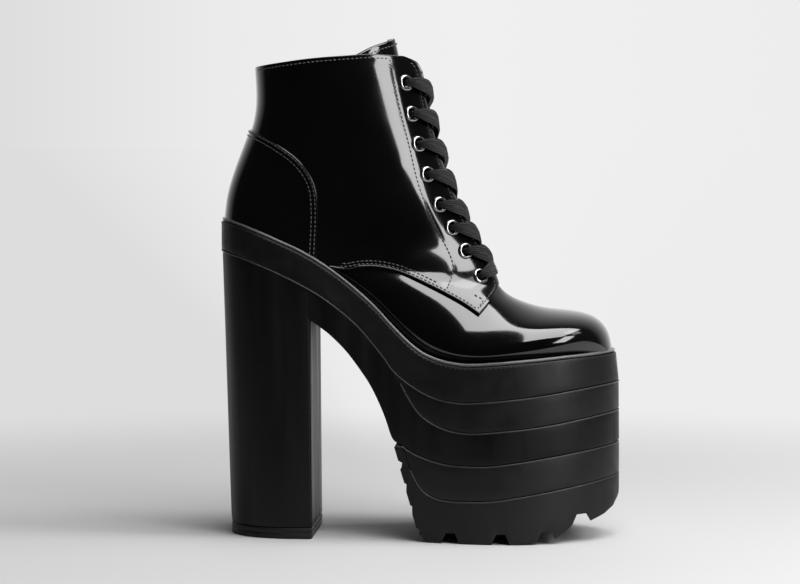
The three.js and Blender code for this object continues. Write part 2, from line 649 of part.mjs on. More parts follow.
// A flat ribbon swept along a route, its width kept along the facing.
function ribbonGeometry(route) {
  const centres = route.map(([place, offset]) => offsetPoint(place, offset));
  const points = [];
  route.forEach(([place, , width], i) => {
    const before = centres[Math.max(i - 1, 0)];
    const after = centres[Math.min(i + 1, centres.length - 1)];
    const tangent = after.clone().sub(before).normalize();
    const along = surfacePoint([place[0], place[1] - 0.05]).sub(surfacePoint([place[0], place[1] + 0.05]));
    const across = along.addScaledVector(tangent, -along.dot(tangent)).normalize();
    const thick = across.clone().cross(tangent).normalize();
    const [w, h] = [width / 2, LACE_THICKNESS / 2];
    for (const [a, b] of [[-w, -h], [w, -h], [w, h], [-w, h]]) {
      points.push(centres[i].clone().addScaledVector(across, a).addScaledVector(thick, b));
    }
  });
  const triangles = [];
  for (let i = 0; i + 1 < route.length; i += 1) {
    for (let k = 0; k < 4; k += 1) {
      const [a, b] = [i * 4 + k, i * 4 + ((k + 1) % 4)];
      triangles.push([a, b, b + 4], [a, b + 4, a + 4]);
    }
  }
  const end = (route.length - 1) * 4;
  for (let k = 1; k < 3; k += 1) triangles.push([0, k + 1, k], [end, end + k, end + k + 1]);
  return bodyGeometry(points, triangles);
}

function buildLace() {
  const route = laceRoute();
  add('lace', ribbonGeometry(route), 'lace');
  const ends = [[route[1], route[0]], [route.at(-2), route.at(-1)]];
  ends.forEach(([from, to], i) => {
    const tip = offsetPoint(to[0], to[1]);
    const run = tip.clone().sub(offsetPoint(from[0], from[1])).normalize();
    const tube = new THREE.CylinderGeometry(0.8, 0.8, 9, 8);
    const aglet = add(`lace_tip_${i === 0 ? 'lateral' : 'medial'}`, tube, 'aglet');
    aglet.quaternion.copy(towards(run));
    aglet.position.copy(tip.addScaledVector(run, 4.5 + GAP));
  });
}

// ---- sole outlines ---------------------------------------------------------------------------
function lineAt(line) {
  const curve = new THREE.SplineCurve(vectors(line));
  const samples = curve.getPoints(line.length * 8);
  return (x) => {
    const i = Math.max(1, samples.findIndex((p, k) => k > 0 && p.x >= x));
    const [a, b] = [samples[i - 1], samples[i]];
    return a.y + ((b.y - a.y) * (x - a.x)) / (b.x - a.x);
  };
}
const soleTopAt = lineAt(SOLE_TOP_LINE);

// A side-view line, moved square to itself by a distance (positive is down), as a list of points.
function sideLine(line, shift = 0, steps = 1) {
  const curve = new THREE.SplineCurve(vectors(line));
  const count = (line.length - 1) * steps;
  return Array.from({ length: count + 1 }, (_, i) => {
    const t = i / count;
    const point = curve.getPoint(t);
    const run = curve.getTangent(t);
    return [point.x + run.y * shift, point.y - run.x * shift];
  });
}

// Half of the plan outline moved inwards, heel back to toe.
function planHalf(inset, count = 24) {
  const curve = new THREE.SplineCurve(vectors(SOLE_PLAN));
  return Array.from({ length: count + 1 }, (_, i) => {
    const t = i / count;
    const point = curve.getPoint(t);
    const run = curve.getTangent(t);
    const atEnd = i === 0 || i === count;
    const side = atEnd ? [i === 0 ? 1 : -1, 0] : [run.y, -run.x];
    return [point.x + side[0] * inset, atEnd ? 0 : point.y + side[1] * inset];
  });
}

function planSolid(inset, low = -10, high = 320) {
  const half = planHalf(inset);
  const outline = [...half, ...half.slice(1, -1).reverse().map(([x, y]) => [x, -y])];
  const shape = new THREE.Shape(vectors(outline));
  const geometry = new THREE.ExtrudeGeometry(shape, { depth: high - low, bevelEnabled: false });
  geometry.translate(0, 0, low);
  return toManifold(geometry);
}

function sideSolid(outline, halfWidth = 70) {
  const shape = new THREE.Shape(vectors(outline));
  const geometry = new THREE.ExtrudeGeometry(shape, { depth: halfWidth * 2, bevelEnabled: false });
  geometry.rotateX(Math.PI / 2);
  geometry.translate(0, halfWidth, 0);
  return toManifold(geometry);
}

function bolt(radius, x, y, low, high, sides = 12) {
  const geometry = new THREE.CylinderGeometry(radius, radius, high - low, sides);
  geometry.rotateX(Math.PI / 2);
  geometry.translate(x, y, (low + high) / 2);
  return geometry;
}

// ---- sole, platform and heel -----------------------------------------------------------------
const SCREW_X = 27;
const SCREW_HEAD_Z = soleTopAt(SCREW_X) - 2.4;
const PIN_XS = [19, 43];
const SHANK_ENDS = [36, 124];
const WEDGE_TIP_X = 104.3;          // where the platform's upper layer starts to part from the band
const RIDGE_COUNT = 4;              // ridges on the platform's rear face
const RIDGE_PITCH = 12.8;
const LOWER_TIP_X = 109.6;          // rear tip of the platform's lower layer

function shankOutline(grow) {
  const steps = 12;
  const [from, to] = [SHANK_ENDS[0] - grow, SHANK_ENDS[1] + grow];
  const xs = Array.from({ length: steps + 1 }, (_, i) => from + ((to - from) * i) / steps);
  const top = xs.map((x) => [x, soleTopAt(x) + (grow ? 3 : -0.5)]);
  const bottom = xs.map((x) => [x, soleTopAt(x) - 2.1 - grow]).reverse();
  return [...top, ...bottom];
}

function buildBand() {
  const outline = [...sideLine(SOLE_TOP_LINE), ...sideLine(BAND_LINE).reverse()];
  const pocket = sideSolid(shankOutline(0.5), 7.5);
  const screwHole = toManifold(bolt(2.6, SCREW_X, 0, 140, 190));
  const counterbore = toManifold(bolt(4.9, SCREW_X, 0, SCREW_HEAD_Z - 0.5, 190));
  const solid = planSolid(0).intersect(sideSolid(outline));
  const band = solid.subtract(pocket).subtract(screwHole).subtract(counterbore);
  add('midsole_band', fromManifold(band), 'rubber');
  add('steel_shank', fromManifold(sideSolid(shankOutline(0), 6.8)), 'steel');
}

function buildPlatformLayers() {
  const ahead = (points, x) => points.filter((point) => point[0] > x);
  const wedgeTop = ahead(sideLine(BAND_LINE.slice(8), GAP), WEDGE_TIP_X);
  const wedgeFoot = ahead(sideLine(LOWER_WAIST_LINE), WEDGE_TIP_X);
  const wedge = planSolid(0).intersect(sideSolid([...wedgeTop, ...wedgeFoot.reverse()]));
  add('platform_upper_layer', fromManifold(wedge), 'rubber');
  const lowerTop = ahead(sideLine(THIRD_LINE, GAP), LOWER_TIP_X);
  const lowerFoot = ahead(sideLine(FOURTH_LINE), LOWER_TIP_X);
  const lower = planSolid(0).intersect(sideSolid([...lowerTop, ...lowerFoot.reverse()]));
  add('platform_lower_layer', fromManifold(lower), 'rubber');
}

// D-shaped rings of the heel block, wider at the top, with a flat breast.
function heelRing(z, share) {
  const back = THREE.MathUtils.lerp(HEEL_BACK_X[0], HEEL_BACK_X[1], share);
  const breast = THREE.MathUtils.lerp(BREAST_X[0], BREAST_X[1], share);
  const half = THREE.MathUtils.lerp(HALF_HEEL_WIDTH, 34.8, share);
  const reach = 40;
  const arc = Array.from({ length: 17 }, (_, i) => {
    const angle = radians(90 + (180 * i) / 16);
    const x = back + reach * (1 + Math.sign(Math.cos(angle)) * Math.abs(Math.cos(angle)) ** 0.92);
    return new THREE.Vector3(x, half * Math.sin(angle), z);
  });
  return [new THREE.Vector3(breast, half, z), ...arc, new THREE.Vector3(breast, -half, z)];
}

function loftGeometry(rings) {
  const count = rings[0].length;
  const points = rings.flat();
  const triangles = [];
  for (let j = 0; j + 1 < rings.length; j += 1) {
    for (let k = 0; k < count; k += 1) {
      const [a, b] = [j * count + k, j * count + ((k + 1) % count)];
      triangles.push([a, b, b + count], [a, b + count, a + count]);
    }
  }
  const end = (rings.length - 1) * count;
  for (let k = 1; k + 1 < count; k += 1) triangles.push([0, k + 1, k], [end, end + k, end + k + 1]);
  return bodyGeometry(points, triangles);
}

function buildHeelAndWaist() {
  const bandFoot = sideLine(BAND_LINE.slice(0, 9), GAP);
  const waistTop = sideLine(LOWER_WAIST_LINE, GAP).slice(1);
  const third = sideLine(THIRD_LINE, 0).reverse();
  const arch = sideLine(ARCH_LINE, 0).reverse();
  const overBreast = bandFoot.filter(([x]) => x > 51);
  const waistOutline = [...overBreast, ...waistTop, ...third, ...arch, [50, ARCH_LINE[0][1]]];
  const waist = planSolid(0).intersect(sideSolid(waistOutline));
  const block = toManifold(loftGeometry([heelRing(TOP_PIECE_HEIGHT + GAP, 0), heelRing(190, 1)]));
  const underBand = sideSolid([...bandFoot.filter(([x]) => x < 70), [70, 0], [-3, 0]]);
  let unit = waist.add(block.intersect(underBand).intersect(planSolid(0)));
  unit = unit.subtract(toManifold(bolt(2.6, SCREW_X, 0, 128, 190)));
  for (const x of PIN_XS) unit = unit.subtract(toManifold(bolt(1.9, x, 0, -5, 19)));
  add('heel_and_waist', fromManifold(unit), 'heel');
  let topPiece = toManifold(loftGeometry([heelRing(0, 0), heelRing(TOP_PIECE_HEIGHT, 0)]));
  for (const x of PIN_XS) topPiece = topPiece.subtract(toManifold(bolt(1.9, x, 0, 2.6, 12)));
  add('heel_top_piece', fromManifold(topPiece), 'rubber');
  PIN_XS.forEach((x, i) => add(`top_piece_pin_${i + 1}`, bolt(1.55, x, 0, 3, 18.6), 'steel'));
}

function buildOutsole() {
  const ridges = [[108.6, 53.2], [106.8, 55.4], [104.6, 56.2]];
  for (let k = 0; k < RIDGE_COUNT; k += 1) {
    const [x, z] = [103.5 + 3.5 * k, 54.3 - RIDGE_PITCH * k];
    ridges.push([x, z], [x + 2.3, z - 7.6], [x + 4.6, z - 8.8], [x + 4.2, z - 11.4]);
  }
  ridges.push([119.4, 4], [121.6, 0]);
  const notches = [[136, 0], [165, 0], [191, 1.4], [211, 10.6]];
  const bottom = [];
  for (const [x, z] of notches) {
    bottom.push([x - 5.2, z], [x - 2.6, z + 6], [x + 2.6, z + 6.2], [x + 5.2, z + (z > 1 ? 1.6 : 0)]);
  }
  const toe = [[224, 15.2], [229.4, 19], [232.6, 24.6], [237, 37]];
  const top = sideLine(FOURTH_LINE, GAP).reverse();
  const outline = [...top.slice(0, -3), ...ridges, ...bottom, ...toe];
  add('outsole', fromManifold(planSolid(0).intersect(sideSolid(outline))), 'rubber');
}

function buildWeltAndInsole() {
  const sheet = (low, high) => sideSolid([
    ...sideLine(SOLE_TOP_LINE, -high, 1), ...sideLine(SOLE_TOP_LINE, -low, 1).reverse(),
  ]);
  const weltLow = GAP + 0.1;
  const welt = planSolid(0.5).subtract(planSolid(2.3)).intersect(sheet(weltLow, weltLow + WELT_HEIGHT));
  add('welt', fromManifold(welt), 'patent');
  const screwHead = toManifold(bolt(5, SCREW_X, 0, 170, 190));
  const board = planSolid(12).intersect(sheet(weltLow, weltLow + BOARD_THICKNESS)).subtract(screwHead);
  add('insole_board', fromManifold(board), 'board');
  const sockLow = weltLow + BOARD_THICKNESS + GAP;
  const sock = planSolid(13.5).intersect(sheet(sockLow, sockLow + SOCK_THICKNESS));
  add('sock_liner', fromManifold(sock), 'lining');
  const head = bolt(4.5, SCREW_X, 0, SCREW_HEAD_Z, SCREW_HEAD_Z + 1.8);
  const screw = toManifold(bolt(2.2, SCREW_X, 0, 129, SCREW_HEAD_Z + 1)).add(toManifold(head));
  add('heel_screw', fromManifold(screw), 'steel');
}

// ---- side zip --------------------------------------------------------------------------------
const zipEnds = [ZIP_TOP, ZIP_BOTTOM].map(([x, z]) => {
  const [psi, v] = sidePlace(x, z);
  return offsetPoint([-psi, v], -ZIP_CHAIN_DEPTH);
});

// Local frame of the zip: x across it towards the toe, y out of the boot, z up along the chain.
function zipFrame() {
  const up = zipEnds[0].clone().sub(zipEnds[1]).normalize();
  const out = new THREE.Vector3(0, 1, 0).addScaledVector(up, -up.y).normalize();
  const across = out.clone().cross(up);
  const group = new THREE.Group();
  group.quaternion.setFromRotationMatrix(new THREE.Matrix4().makeBasis(across, out, up));
  group.position.copy(zipEnds[1]);
  return group;
}

function zipTapeOutline(side) {
  const [near, far] = [side * 0.75, side * 11];
  const foot = 167;
  const inner = sidePath(zipEdge(near, foot, ZIP_TAPE_TOP_Z));
  const outer = sidePath(zipEdge(far, foot, ZIP_TAPE_TOP_Z));
  return flipped({
    top: trace([inner[0], outer[0]]),
    bottom: trace([inner.at(-1), outer.at(-1)]),
    back: trace(inner),
    front: trace(outer),
  });
}

function buildZip() {
  const zip = zipFrame();
  boot.add(zip);
  const length = zipEnds[0].distanceTo(zipEnds[1]);
  [['back', -1], ['front', 1]].forEach(([name, side]) => {
    add(`zip_tape_${name}`, patchGeometry(zipTapeOutline(side), 2, 14, TAPE_LAYER), 'tape');
    const comb = [[0.75 * side, 1.5]];
    const count = Math.floor((length - 4) / ZIP_TOOTH_PITCH);
    for (let k = 0; k < count; k += 1) {
      const z = 2 + k * ZIP_TOOTH_PITCH;
      comb.push([0.75 * side, z + 2.2], [1.7 * side, z + 2.5], [1.7 * side, z + 3.7], [0.75 * side, z + 4]);
    }
    comb.push([2.9 * side, 2 + count * ZIP_TOOTH_PITCH], [2.9 * side, 1.5]);
    const shape = new THREE.Shape(vectors(comb));
    const geometry = new THREE.ExtrudeGeometry(shape, { depth: ZIP_TOOTH_HEIGHT, bevelEnabled: false });
    geometry.rotateX(Math.PI / 2);
    geometry.translate(0, ZIP_TOOTH_HEIGHT, 0);
    add(`zip_teeth_${name}`, geometry, 'steel', zip);
    const stop = new THREE.BoxGeometry(2.3, ZIP_TOOTH_HEIGHT, 3);
    const topStop = add(`zip_top_stop_${name}`, stop, 'steel', zip);
    topStop.position.set(side * 1.95, ZIP_TOOTH_HEIGHT / 2, length + 6.4);
  });
  const bottomStop = add('zip_bottom_stop', new THREE.BoxGeometry(5, ZIP_TOOTH_HEIGHT, 2.2), 'steel', zip);
  bottomStop.position.set(0, ZIP_TOOTH_HEIGHT / 2, -0.4);
  const sliderZ = length - SLIDER_BELOW_TOP;
  add('zip_slider', sliderGeometry(), 'steel', zip).position.z = sliderZ;
  const pull = add('zip_pull', pullGeometry(), 'steel', zip);
  pull.position.set(0, PULL_PIN[0], sliderZ + PULL_PIN[1]);
  pull.rotation.x = radians(PULL_HANG);
}

// Two plates joined by a post that runs between the rows of teeth, with a loop for the pull on top.
function sliderGeometry() {
  const plate = (half, low, high, from, to) => {
    const geometry = new THREE.BoxGeometry(half * 2, high - low, to - from);
    geometry.translate(0, (low + high) / 2, (from + to) / 2);
    return toManifold(geometry);
  };
  const outer = plate(3.9, 1.75, 2.65, 0, 9.5);
  const inner = plate(3.2, -3.5, -2.7, 0, 9.5);
  const post = plate(0.42, -3, 2, 4.4, 9.3);
  const eye = toManifold(new THREE.BoxGeometry(4, 1.1, 2.2).translate(0, ...PULL_PIN));
  const ears = plate(0.9, 2.5, 4.6, 2.6, 7).subtract(eye);
  return fromManifold(outer.add(inner).add(post).add(ears));
}

// The pull, measured from its pin: two arms either side of the slider's loop, then a slotted tab.
function pullGeometry() {
  const bar = (width, thick, low, high) => {
    const box = new THREE.BoxGeometry(width, thick, high - low);
    return toManifold(box.translate(0, 0, (low + high) / 2));
  };
  const fork = bar(5, 0.9, -5.1, 0.5).subtract(bar(2.8, 3, -4.6, 3));
  const tab = bar(5, 0.9, -21.7, -4.9).subtract(bar(2, 3, -19.2, -14.2));
  return fromManifold(fork.add(tab).add(bar(4.4, 0.5, -0.45, 0.45)));
}

// ---- assembly --------------------------------------------------------------------------------
buildLeathers();
buildLinings();
buildStiffeners();
buildTongue();
buildEyelets();
buildLace();
buildWeltAndInsole();
buildBand();
buildPlatformLayers();
buildHeelAndWaist();
buildOutsole();
buildZip();

export default boot;
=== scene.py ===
import math

import bmesh
import bpy
import numpy as np
from mathutils import Matrix, Vector


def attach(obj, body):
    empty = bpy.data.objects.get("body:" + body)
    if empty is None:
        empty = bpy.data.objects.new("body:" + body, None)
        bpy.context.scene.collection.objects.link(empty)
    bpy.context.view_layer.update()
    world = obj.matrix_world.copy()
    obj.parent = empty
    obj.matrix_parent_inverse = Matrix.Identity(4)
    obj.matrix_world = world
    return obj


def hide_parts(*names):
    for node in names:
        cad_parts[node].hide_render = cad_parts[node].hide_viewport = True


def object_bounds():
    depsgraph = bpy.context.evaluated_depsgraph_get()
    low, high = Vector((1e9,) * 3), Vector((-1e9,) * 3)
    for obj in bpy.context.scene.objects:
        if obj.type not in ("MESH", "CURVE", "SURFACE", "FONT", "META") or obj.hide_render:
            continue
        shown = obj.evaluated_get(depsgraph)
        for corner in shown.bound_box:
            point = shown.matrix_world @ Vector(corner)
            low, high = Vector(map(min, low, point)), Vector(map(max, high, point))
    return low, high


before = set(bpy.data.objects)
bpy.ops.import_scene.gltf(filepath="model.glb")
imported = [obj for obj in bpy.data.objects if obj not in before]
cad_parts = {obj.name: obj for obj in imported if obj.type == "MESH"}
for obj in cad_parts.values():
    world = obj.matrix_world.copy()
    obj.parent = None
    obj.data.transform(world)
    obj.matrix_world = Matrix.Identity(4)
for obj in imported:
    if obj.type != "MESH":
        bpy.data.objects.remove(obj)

CAD_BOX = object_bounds()
SOLE_BACK_X = -0.4
SHIFT_X = CAD_BOX[0].x * 1000 - SOLE_BACK_X

# ---- sizes, most of them the CAD's -----------------------------------------------------------
# Layers are a leather's outer and inner face, as offsets from the upper's surface. Pairs of the
# heel's sizes are at the ground and under the foot.
QUARTER_LAYER = (0.0, -1.2)
PATCH_LAYER = (1.25, 0.4)
VAMP_LAYER = (-2.0, -3.1)
LINING_LAYER = (-3.6, -4.3)
VAMP_LINING_LAYER = (-5.3, -6.0)
TONGUE_COVER = (-8.0, -9.2)
TONGUE_FOAM = (-9.3, -11.3)
TONGUE_LINING = (-11.4, -12.3)
TONGUE_LEAN = 6.5
TONGUE_SEAM = (0.07, 0.93)
TOE_CROWDING = 1.45
PSI_PACE = 2  # how many sections an angle of one radian counts for, when a line is paced out
BOARD_TOP = 2.4
WELT_RADIUS = 1.0
HALF_HEEL_WIDTH = (33, 34.8)
BREAST_X = (55.7, 54.2)
HEEL_BACK_X = (5.3, -0.4)
TOP_PIECE_HEIGHT = 6.4
GAP = 0.3
HOLE_RADIUS = 3.6
LIP_RADIUS = 0.5
ROLL_RADIUS = 0.5
SOLE_START = -9
BATTER_SPAN = (150, 232)
SOCK_INSET, SOCK_THICKNESS = 13.5, 2.6
OUTSOLE_START = 109.9
HEEL_ROUND = 40
HEEL_RISE, HEEL_HEIGHT = 184, 190
WAIST_START = 49
WAIST_HIDDEN, WAIST_BLEND = (50, 53.5), (54, 84)
RIDGE_COUNT, RIDGE_PITCH, RIDGE_LEAN = 4, 12.8, 3.5
TREAD_NOTCHES = ((136, 0), (165, 0), (191, 1.4), (211, 10.6))
TREAD_FRONT = (232.6, 24.6)

# Back or bottom point (x, z), front or top point (x, z), half width, widest place, squareness.
SECTIONS = np.array([
    [18.4, 300, 114.8, 298, 37.4, 0.41, 0.08],
    [19.4, 282, 117.8, 281, 37.2, 0.41, 0.08],
    [20.1, 266, 120.7, 265.5, 36.9, 0.43, 0.10],
    [20.2, 250, 124.1, 248.5, 36.2, 0.455, 0.15],
    [17.0, 234, 128.7, 229.5, 35.2, 0.47, 0.20],
    [10.8, 217, 134.4, 211, 34.3, 0.46, 0.24],
    [5.0, 200, 142.9, 189, 33.2, 0.41, 0.21],
    [2.8, 184, 151.6, 172.3, 32.4, 0.35, 0.15],
    [8.0, 168, 158.3, 159, 32.2, 0.33, 0.10],
    [34, 158, 163.4, 148, 32.8, 0.34, 0.10],
    [72, 138, 169.4, 141.8, 34.4, 0.36, 0.12],
    [105, 108, 178.0, 137.9, 39.4, 0.38, 0.16],
    [135, 97, 189.0, 135.0, 45.0, 0.38, 0.20],
    [160, 97, 202.0, 133.6, 46.6, 0.38, 0.22],
    [180, 97.5, 214.2, 131.4, 43.6, 0.40, 0.22],
    [194, 98, 223.2, 126.4, 37.4, 0.42, 0.20],
    [202, 98.2, 228.9, 117.4, 29.8, 0.44, 0.16],
    [207, 98.4, 231.0, 105, 22.0, 0.46, 0.12],
])
SOLE_PLAN = [
    (-0.4, 0), (0.9, 9), (4.2, 16.5), (10, 23.6), (20, 30.2), (32, 33.6), (46, 34.8), (62, 35), (78, 35),
    (92, 35.8), (107, 38), (121, 41), (136, 45.2), (150, 48.1), (165, 49.3), (178, 48.6), (190, 46.2),
    (202, 41.8), (213, 35.2), (222, 26.4), (228.5, 16.8), (232, 8), (233, 0),
]
SOLE_TOP_LINE = [
    (-3, 183.4), (4, 182.9), (12.5, 180.7), (24.7, 176.2), (36.7, 171.1), (48.6, 165.7), (60.2, 159),
    (71.8, 150.9), (83.4, 141.4), (92.3, 133.2), (101.1, 123.8), (109.9, 115), (118.7, 108.1),
    (127.5, 104.2), (137, 102), (150, 101.3), (182.2, 103.9), (205, 105.9), (237, 107.6),
]
BAND_LINE = [
    (-3, 167.8), (12.5, 163.7), (24.6, 159.3), (36.7, 154.2), (48.5, 148.5), (60.1, 141.9), (71.7, 133.5),
    (83.4, 123.1), (96.4, 107.7), (102.2, 99.6), (109.9, 92.9), (118.7, 87.3), (127.5, 83.6), (136.3, 81.8),
    (149, 81.4), (182.3, 84.6), (216.7, 89.6), (237, 91.6),
]
LOWER_WAIST_LINE = [
    (96.4, 107.7), (102.2, 99.6), (106.9, 92.2), (111.6, 83.6), (117.5, 75.1), (124.6, 69.6), (133.4, 65.8),
    (142.1, 64.3), (153.6, 64.2), (188, 67.8), (222.6, 73.4), (237, 74.6),
]
THIRD_LINE = [
    (108.3, 55.4), (112.8, 52.3), (121.7, 48.6), (133.4, 45.8), (147.9, 45), (165.2, 46), (211, 52.9),
    (237, 56.2),
]
FOURTH_LINE = [
    (108.6, 54.2), (109.9, 51), (111.7, 45.2), (114.6, 38.4), (118.7, 31.6), (124.6, 27.2), (133.4, 25),
    (147.9, 24.8), (165.2, 26), (211.1, 33.7), (237, 38),
]
ARCH_LINE = [
    (54.2, 127.4), (60.9, 122.7), (66.8, 118.1), (75.5, 109.4), (83.1, 99.5), (89.5, 89.9), (94.2, 80.6),
    (98.3, 70.9), (101.8, 60.5), (104.6, 57.2),
]


# ---- lines and the upper's surface -----------------------------------------------------------
def unit(vectors):
    return vectors / np.linalg.norm(vectors, axis=-1, keepdims=True)


def running_length(points):
    """Length of a line of points up to each of them."""
    return np.concatenate([[0], np.cumsum(np.linalg.norm(np.diff(points, axis=0), axis=1))])


def resample(at, marks, rows):
    """Rows read between their marks."""
    return np.stack([np.interp(at, marks, column) for column in rows.T], -1)


def blurred(rows, kernel):
    reach = len(kernel) // 2
    padded = [np.pad(column, reach, mode="edge") for column in rows.T]
    return np.stack([np.convolve(column, kernel, "valid") for column in padded], -1)


def spline_bends(values):
    """Second derivatives of natural cubic splines through the rows of values at 0, 1, 2..."""
    count = len(values)
    system = np.eye(count)
    pull = np.zeros_like(values)
    for i in range(1, count - 1):
        system[i, i - 1:i + 2] = (1, 4, 1)
        pull[i] = 6 * (values[i - 1] - 2 * values[i] + values[i + 1])
    return np.linalg.solve(system, pull)


BENDS = spline_bends(SECTIONS)
LAST_SECTION = len(SECTIONS) - 1


def section_at(v):
    v = np.asarray(v, float)
    i = np.clip(np.floor(v).astype(int), 0, LAST_SECTION - 1)
    t = (v - i)[..., None]
    u = 1 - t
    cubic = (u ** 3 - u) * BENDS[i] + (t ** 3 - t) * BENDS[i + 1]
    return u * SECTIONS[i] + t * SECTIONS[i + 1] + cubic / 6


def surface(psi, v):
    """Points of the upper. psi is 0 along the front and top, 90 degrees at the outer side."""
    row = section_at(v)
    warp = row[..., 5] / (1 - row[..., 5])
    q = (1 + np.cos(psi)) / 2
    along = warp * q / (warp * q + 1 - q)
    x = row[..., 0] + (row[..., 2] - row[..., 0]) * along
    z = row[..., 1] + (row[..., 3] - row[..., 1]) * along
    y = -row[..., 4] * np.sin(psi) * (1 + row[..., 6] * np.cos(psi) ** 2)
    return np.stack([x, y, z], -1)


def normal(psi, v, step=0.004):
    across = surface(psi + step, v) - surface(psi - step, v)
    down = surface(psi, v + step) - surface(psi, v - step)
    return unit(np.cross(across, down))


def offset_point(psi, v, offset):
    return surface(psi, v) + normal(psi, v) * np.asarray(offset)[..., None]


def bisect(low, high, test):
    """Per element, where test stops being true on the way from low to high."""
    a, b = np.array(low, float), np.array(high, float)
    for _ in range(40):
        middle = (a + b) / 2
        true = test(middle)
        a, b = np.where(true, middle, a), np.where(true, b, middle)
    return (a + b) / 2


def side_places(points):
    """The (psi, v) of side-view points (x, z) on the outer side."""
    x, z = np.asarray(points, float).T

    def ahead(v):
        row = section_at(v)
        return (row[:, 2] - row[:, 0]) * (z - row[:, 1]) - (row[:, 3] - row[:, 1]) * (x - row[:, 0]) > 0

    v = bisect(np.full(len(x), LAST_SECTION), np.zeros(len(x)), ahead)
    row = section_at(v)
    run = row[:, 2:4] - row[:, 0:2]
    from_back = np.stack([x, z], -1) - row[:, 0:2]
    t = np.clip((from_back * run).sum(-1) / (run ** 2).sum(-1), 0, 1)
    warp = row[:, 5] / (1 - row[:, 5])
    q = t / (warp - warp * t + t)
    return np.stack([np.arccos(np.clip(2 * q - 1, -1, 1)), v], -1)


def back_point(z):
    v = bisect(0, 9, lambda at: section_at(at)[..., 1] > z)
    return (float(section_at(v)[0]), z)


def front_place(z):
    return (0.0, float(bisect(0, LAST_SECTION, lambda at: section_at(at)[..., 3] > z)))


def front_point(z):
    return (float(section_at(front_place(z)[1])[2]), z)


def beside_front(z, y):
    v = front_place(z)[1]
    return (float(bisect(0, math.pi / 2, lambda psi: -surface(psi, v)[..., 1] < y)), v)


def smooth_line(points, steps=16):
    """A Catmull-Rom line through points."""
    points = np.asarray(points, float)
    padded = np.concatenate([points[:1], points, points[-1:]])
    t = np.arange(steps)[:, None] / steps
    spans = []
    for p0, p1, p2, p3 in zip(padded, padded[1:], padded[2:], padded[3:]):
        slope_1, slope_2 = (p2 - p0) / 2, (p3 - p1) / 2
        cubic = (2 * p1 - 2 * p2 + slope_1 + slope_2) * t ** 3
        spans.append(cubic + (-3 * p1 + 3 * p2 - 2 * slope_1 - slope_2) * t ** 2 + slope_1 * t + p1)
    return np.concatenate(spans + [points[-1:]])


def side_path(points):
    return side_places(smooth_line(points))


def mirrored(places):
    return places * (-1, 1)


def wrapped(places):
    return (2 * math.pi, 0) + places * (-1, 1)


def trace(places):
    """A line of places as a function of 0 to 1 that keeps an even pace over the surface."""
    marks = running_length(places * (PSI_PACE, 1))
    return lambda t: resample(t, marks / marks[-1], places)


def line_at(line):
    """Height of a side-view line of the sole as a function of x."""
    dense = smooth_line(line, 24)
    return lambda x: np.interp(x, dense[:, 0], dense[:, 1])


def smoothstep(low, high, x):
    t = np.clip((np.asarray(x, float) - low) / (high - low), 0, 1)
    return t * t * (3 - 2 * t)


# ---- materials -------------------------------------------------------------------------------
def add_node(tree, kind, *sources, **values):
    """A shader node. Sources feed its first inputs; values go to named inputs or its settings."""
    made = tree.nodes.new("ShaderNode" + kind)
    for source, target in zip(sources, made.inputs):
        tree.links.new(source, target)
    for name, value in values.items():
        socket = name.replace("_", " ")
        if socket in made.inputs:
            made.inputs[socket].default_value = value
        else:
            setattr(made, name, value)
    return made


def add_ramp(tree, source, stops):
    """A colour ramp with (place, colour) stops."""
    made = add_node(tree, "ValToRGB", source)
    elements = made.color_ramp.elements
    while len(elements) < len(stops):
        elements.new(0.5)
    for element, (place, color) in zip(elements, stops):
        element.position = place
        element.color = (*color, 1)
    return made.outputs["Color"]


def coordinates(tree, scale=(1, 1, 1), kind="Object"):
    where = add_node(tree, "TexCoord")
    return add_node(tree, "Mapping", where.outputs[kind], Scale=scale).outputs["Vector"]


def noise(tree, size, detail=3.0, stretch=(1, 1, 1)):
    """Noise whose features are about size millimetres across."""
    vector = coordinates(tree, tuple(1000 / size * s for s in stretch))
    return add_node(tree, "TexNoise", vector, Scale=1.0, Detail=detail).outputs["Fac"]


def weave(tree, size, kind="Object", distortion=0.4):
    """A plain weave: two crossed waves multiplied together."""
    woven = kind == "Object"
    vector = coordinates(tree, (1000 / size,) * 3 if woven else (1, 1, 1), kind)
    waves = []
    for way in ("X", "Z" if woven else "Y"):
        wave = add_node(tree, "TexWave", vector, wave_type="BANDS", bands_direction=way, Scale=0.5)
        wave.inputs["Distortion"].default_value = distortion
        waves.append(wave.outputs["Fac"])
    return add_node(tree, "Math", *waves, operation="MULTIPLY").outputs["Value"]


def start_material(name, color, roughness, **sockets):
    mat = bpy.data.materials.new(name)
    mat.use_nodes = True
    shader = mat.node_tree.nodes["Principled BSDF"]
    shader.inputs["Base Color"].default_value = (*color, 1)
    shader.inputs["Roughness"].default_value = roughness
    for socket, value in sockets.items():
        shader.inputs[socket.replace("_", " ")].default_value = value
    return mat, mat.node_tree, shader


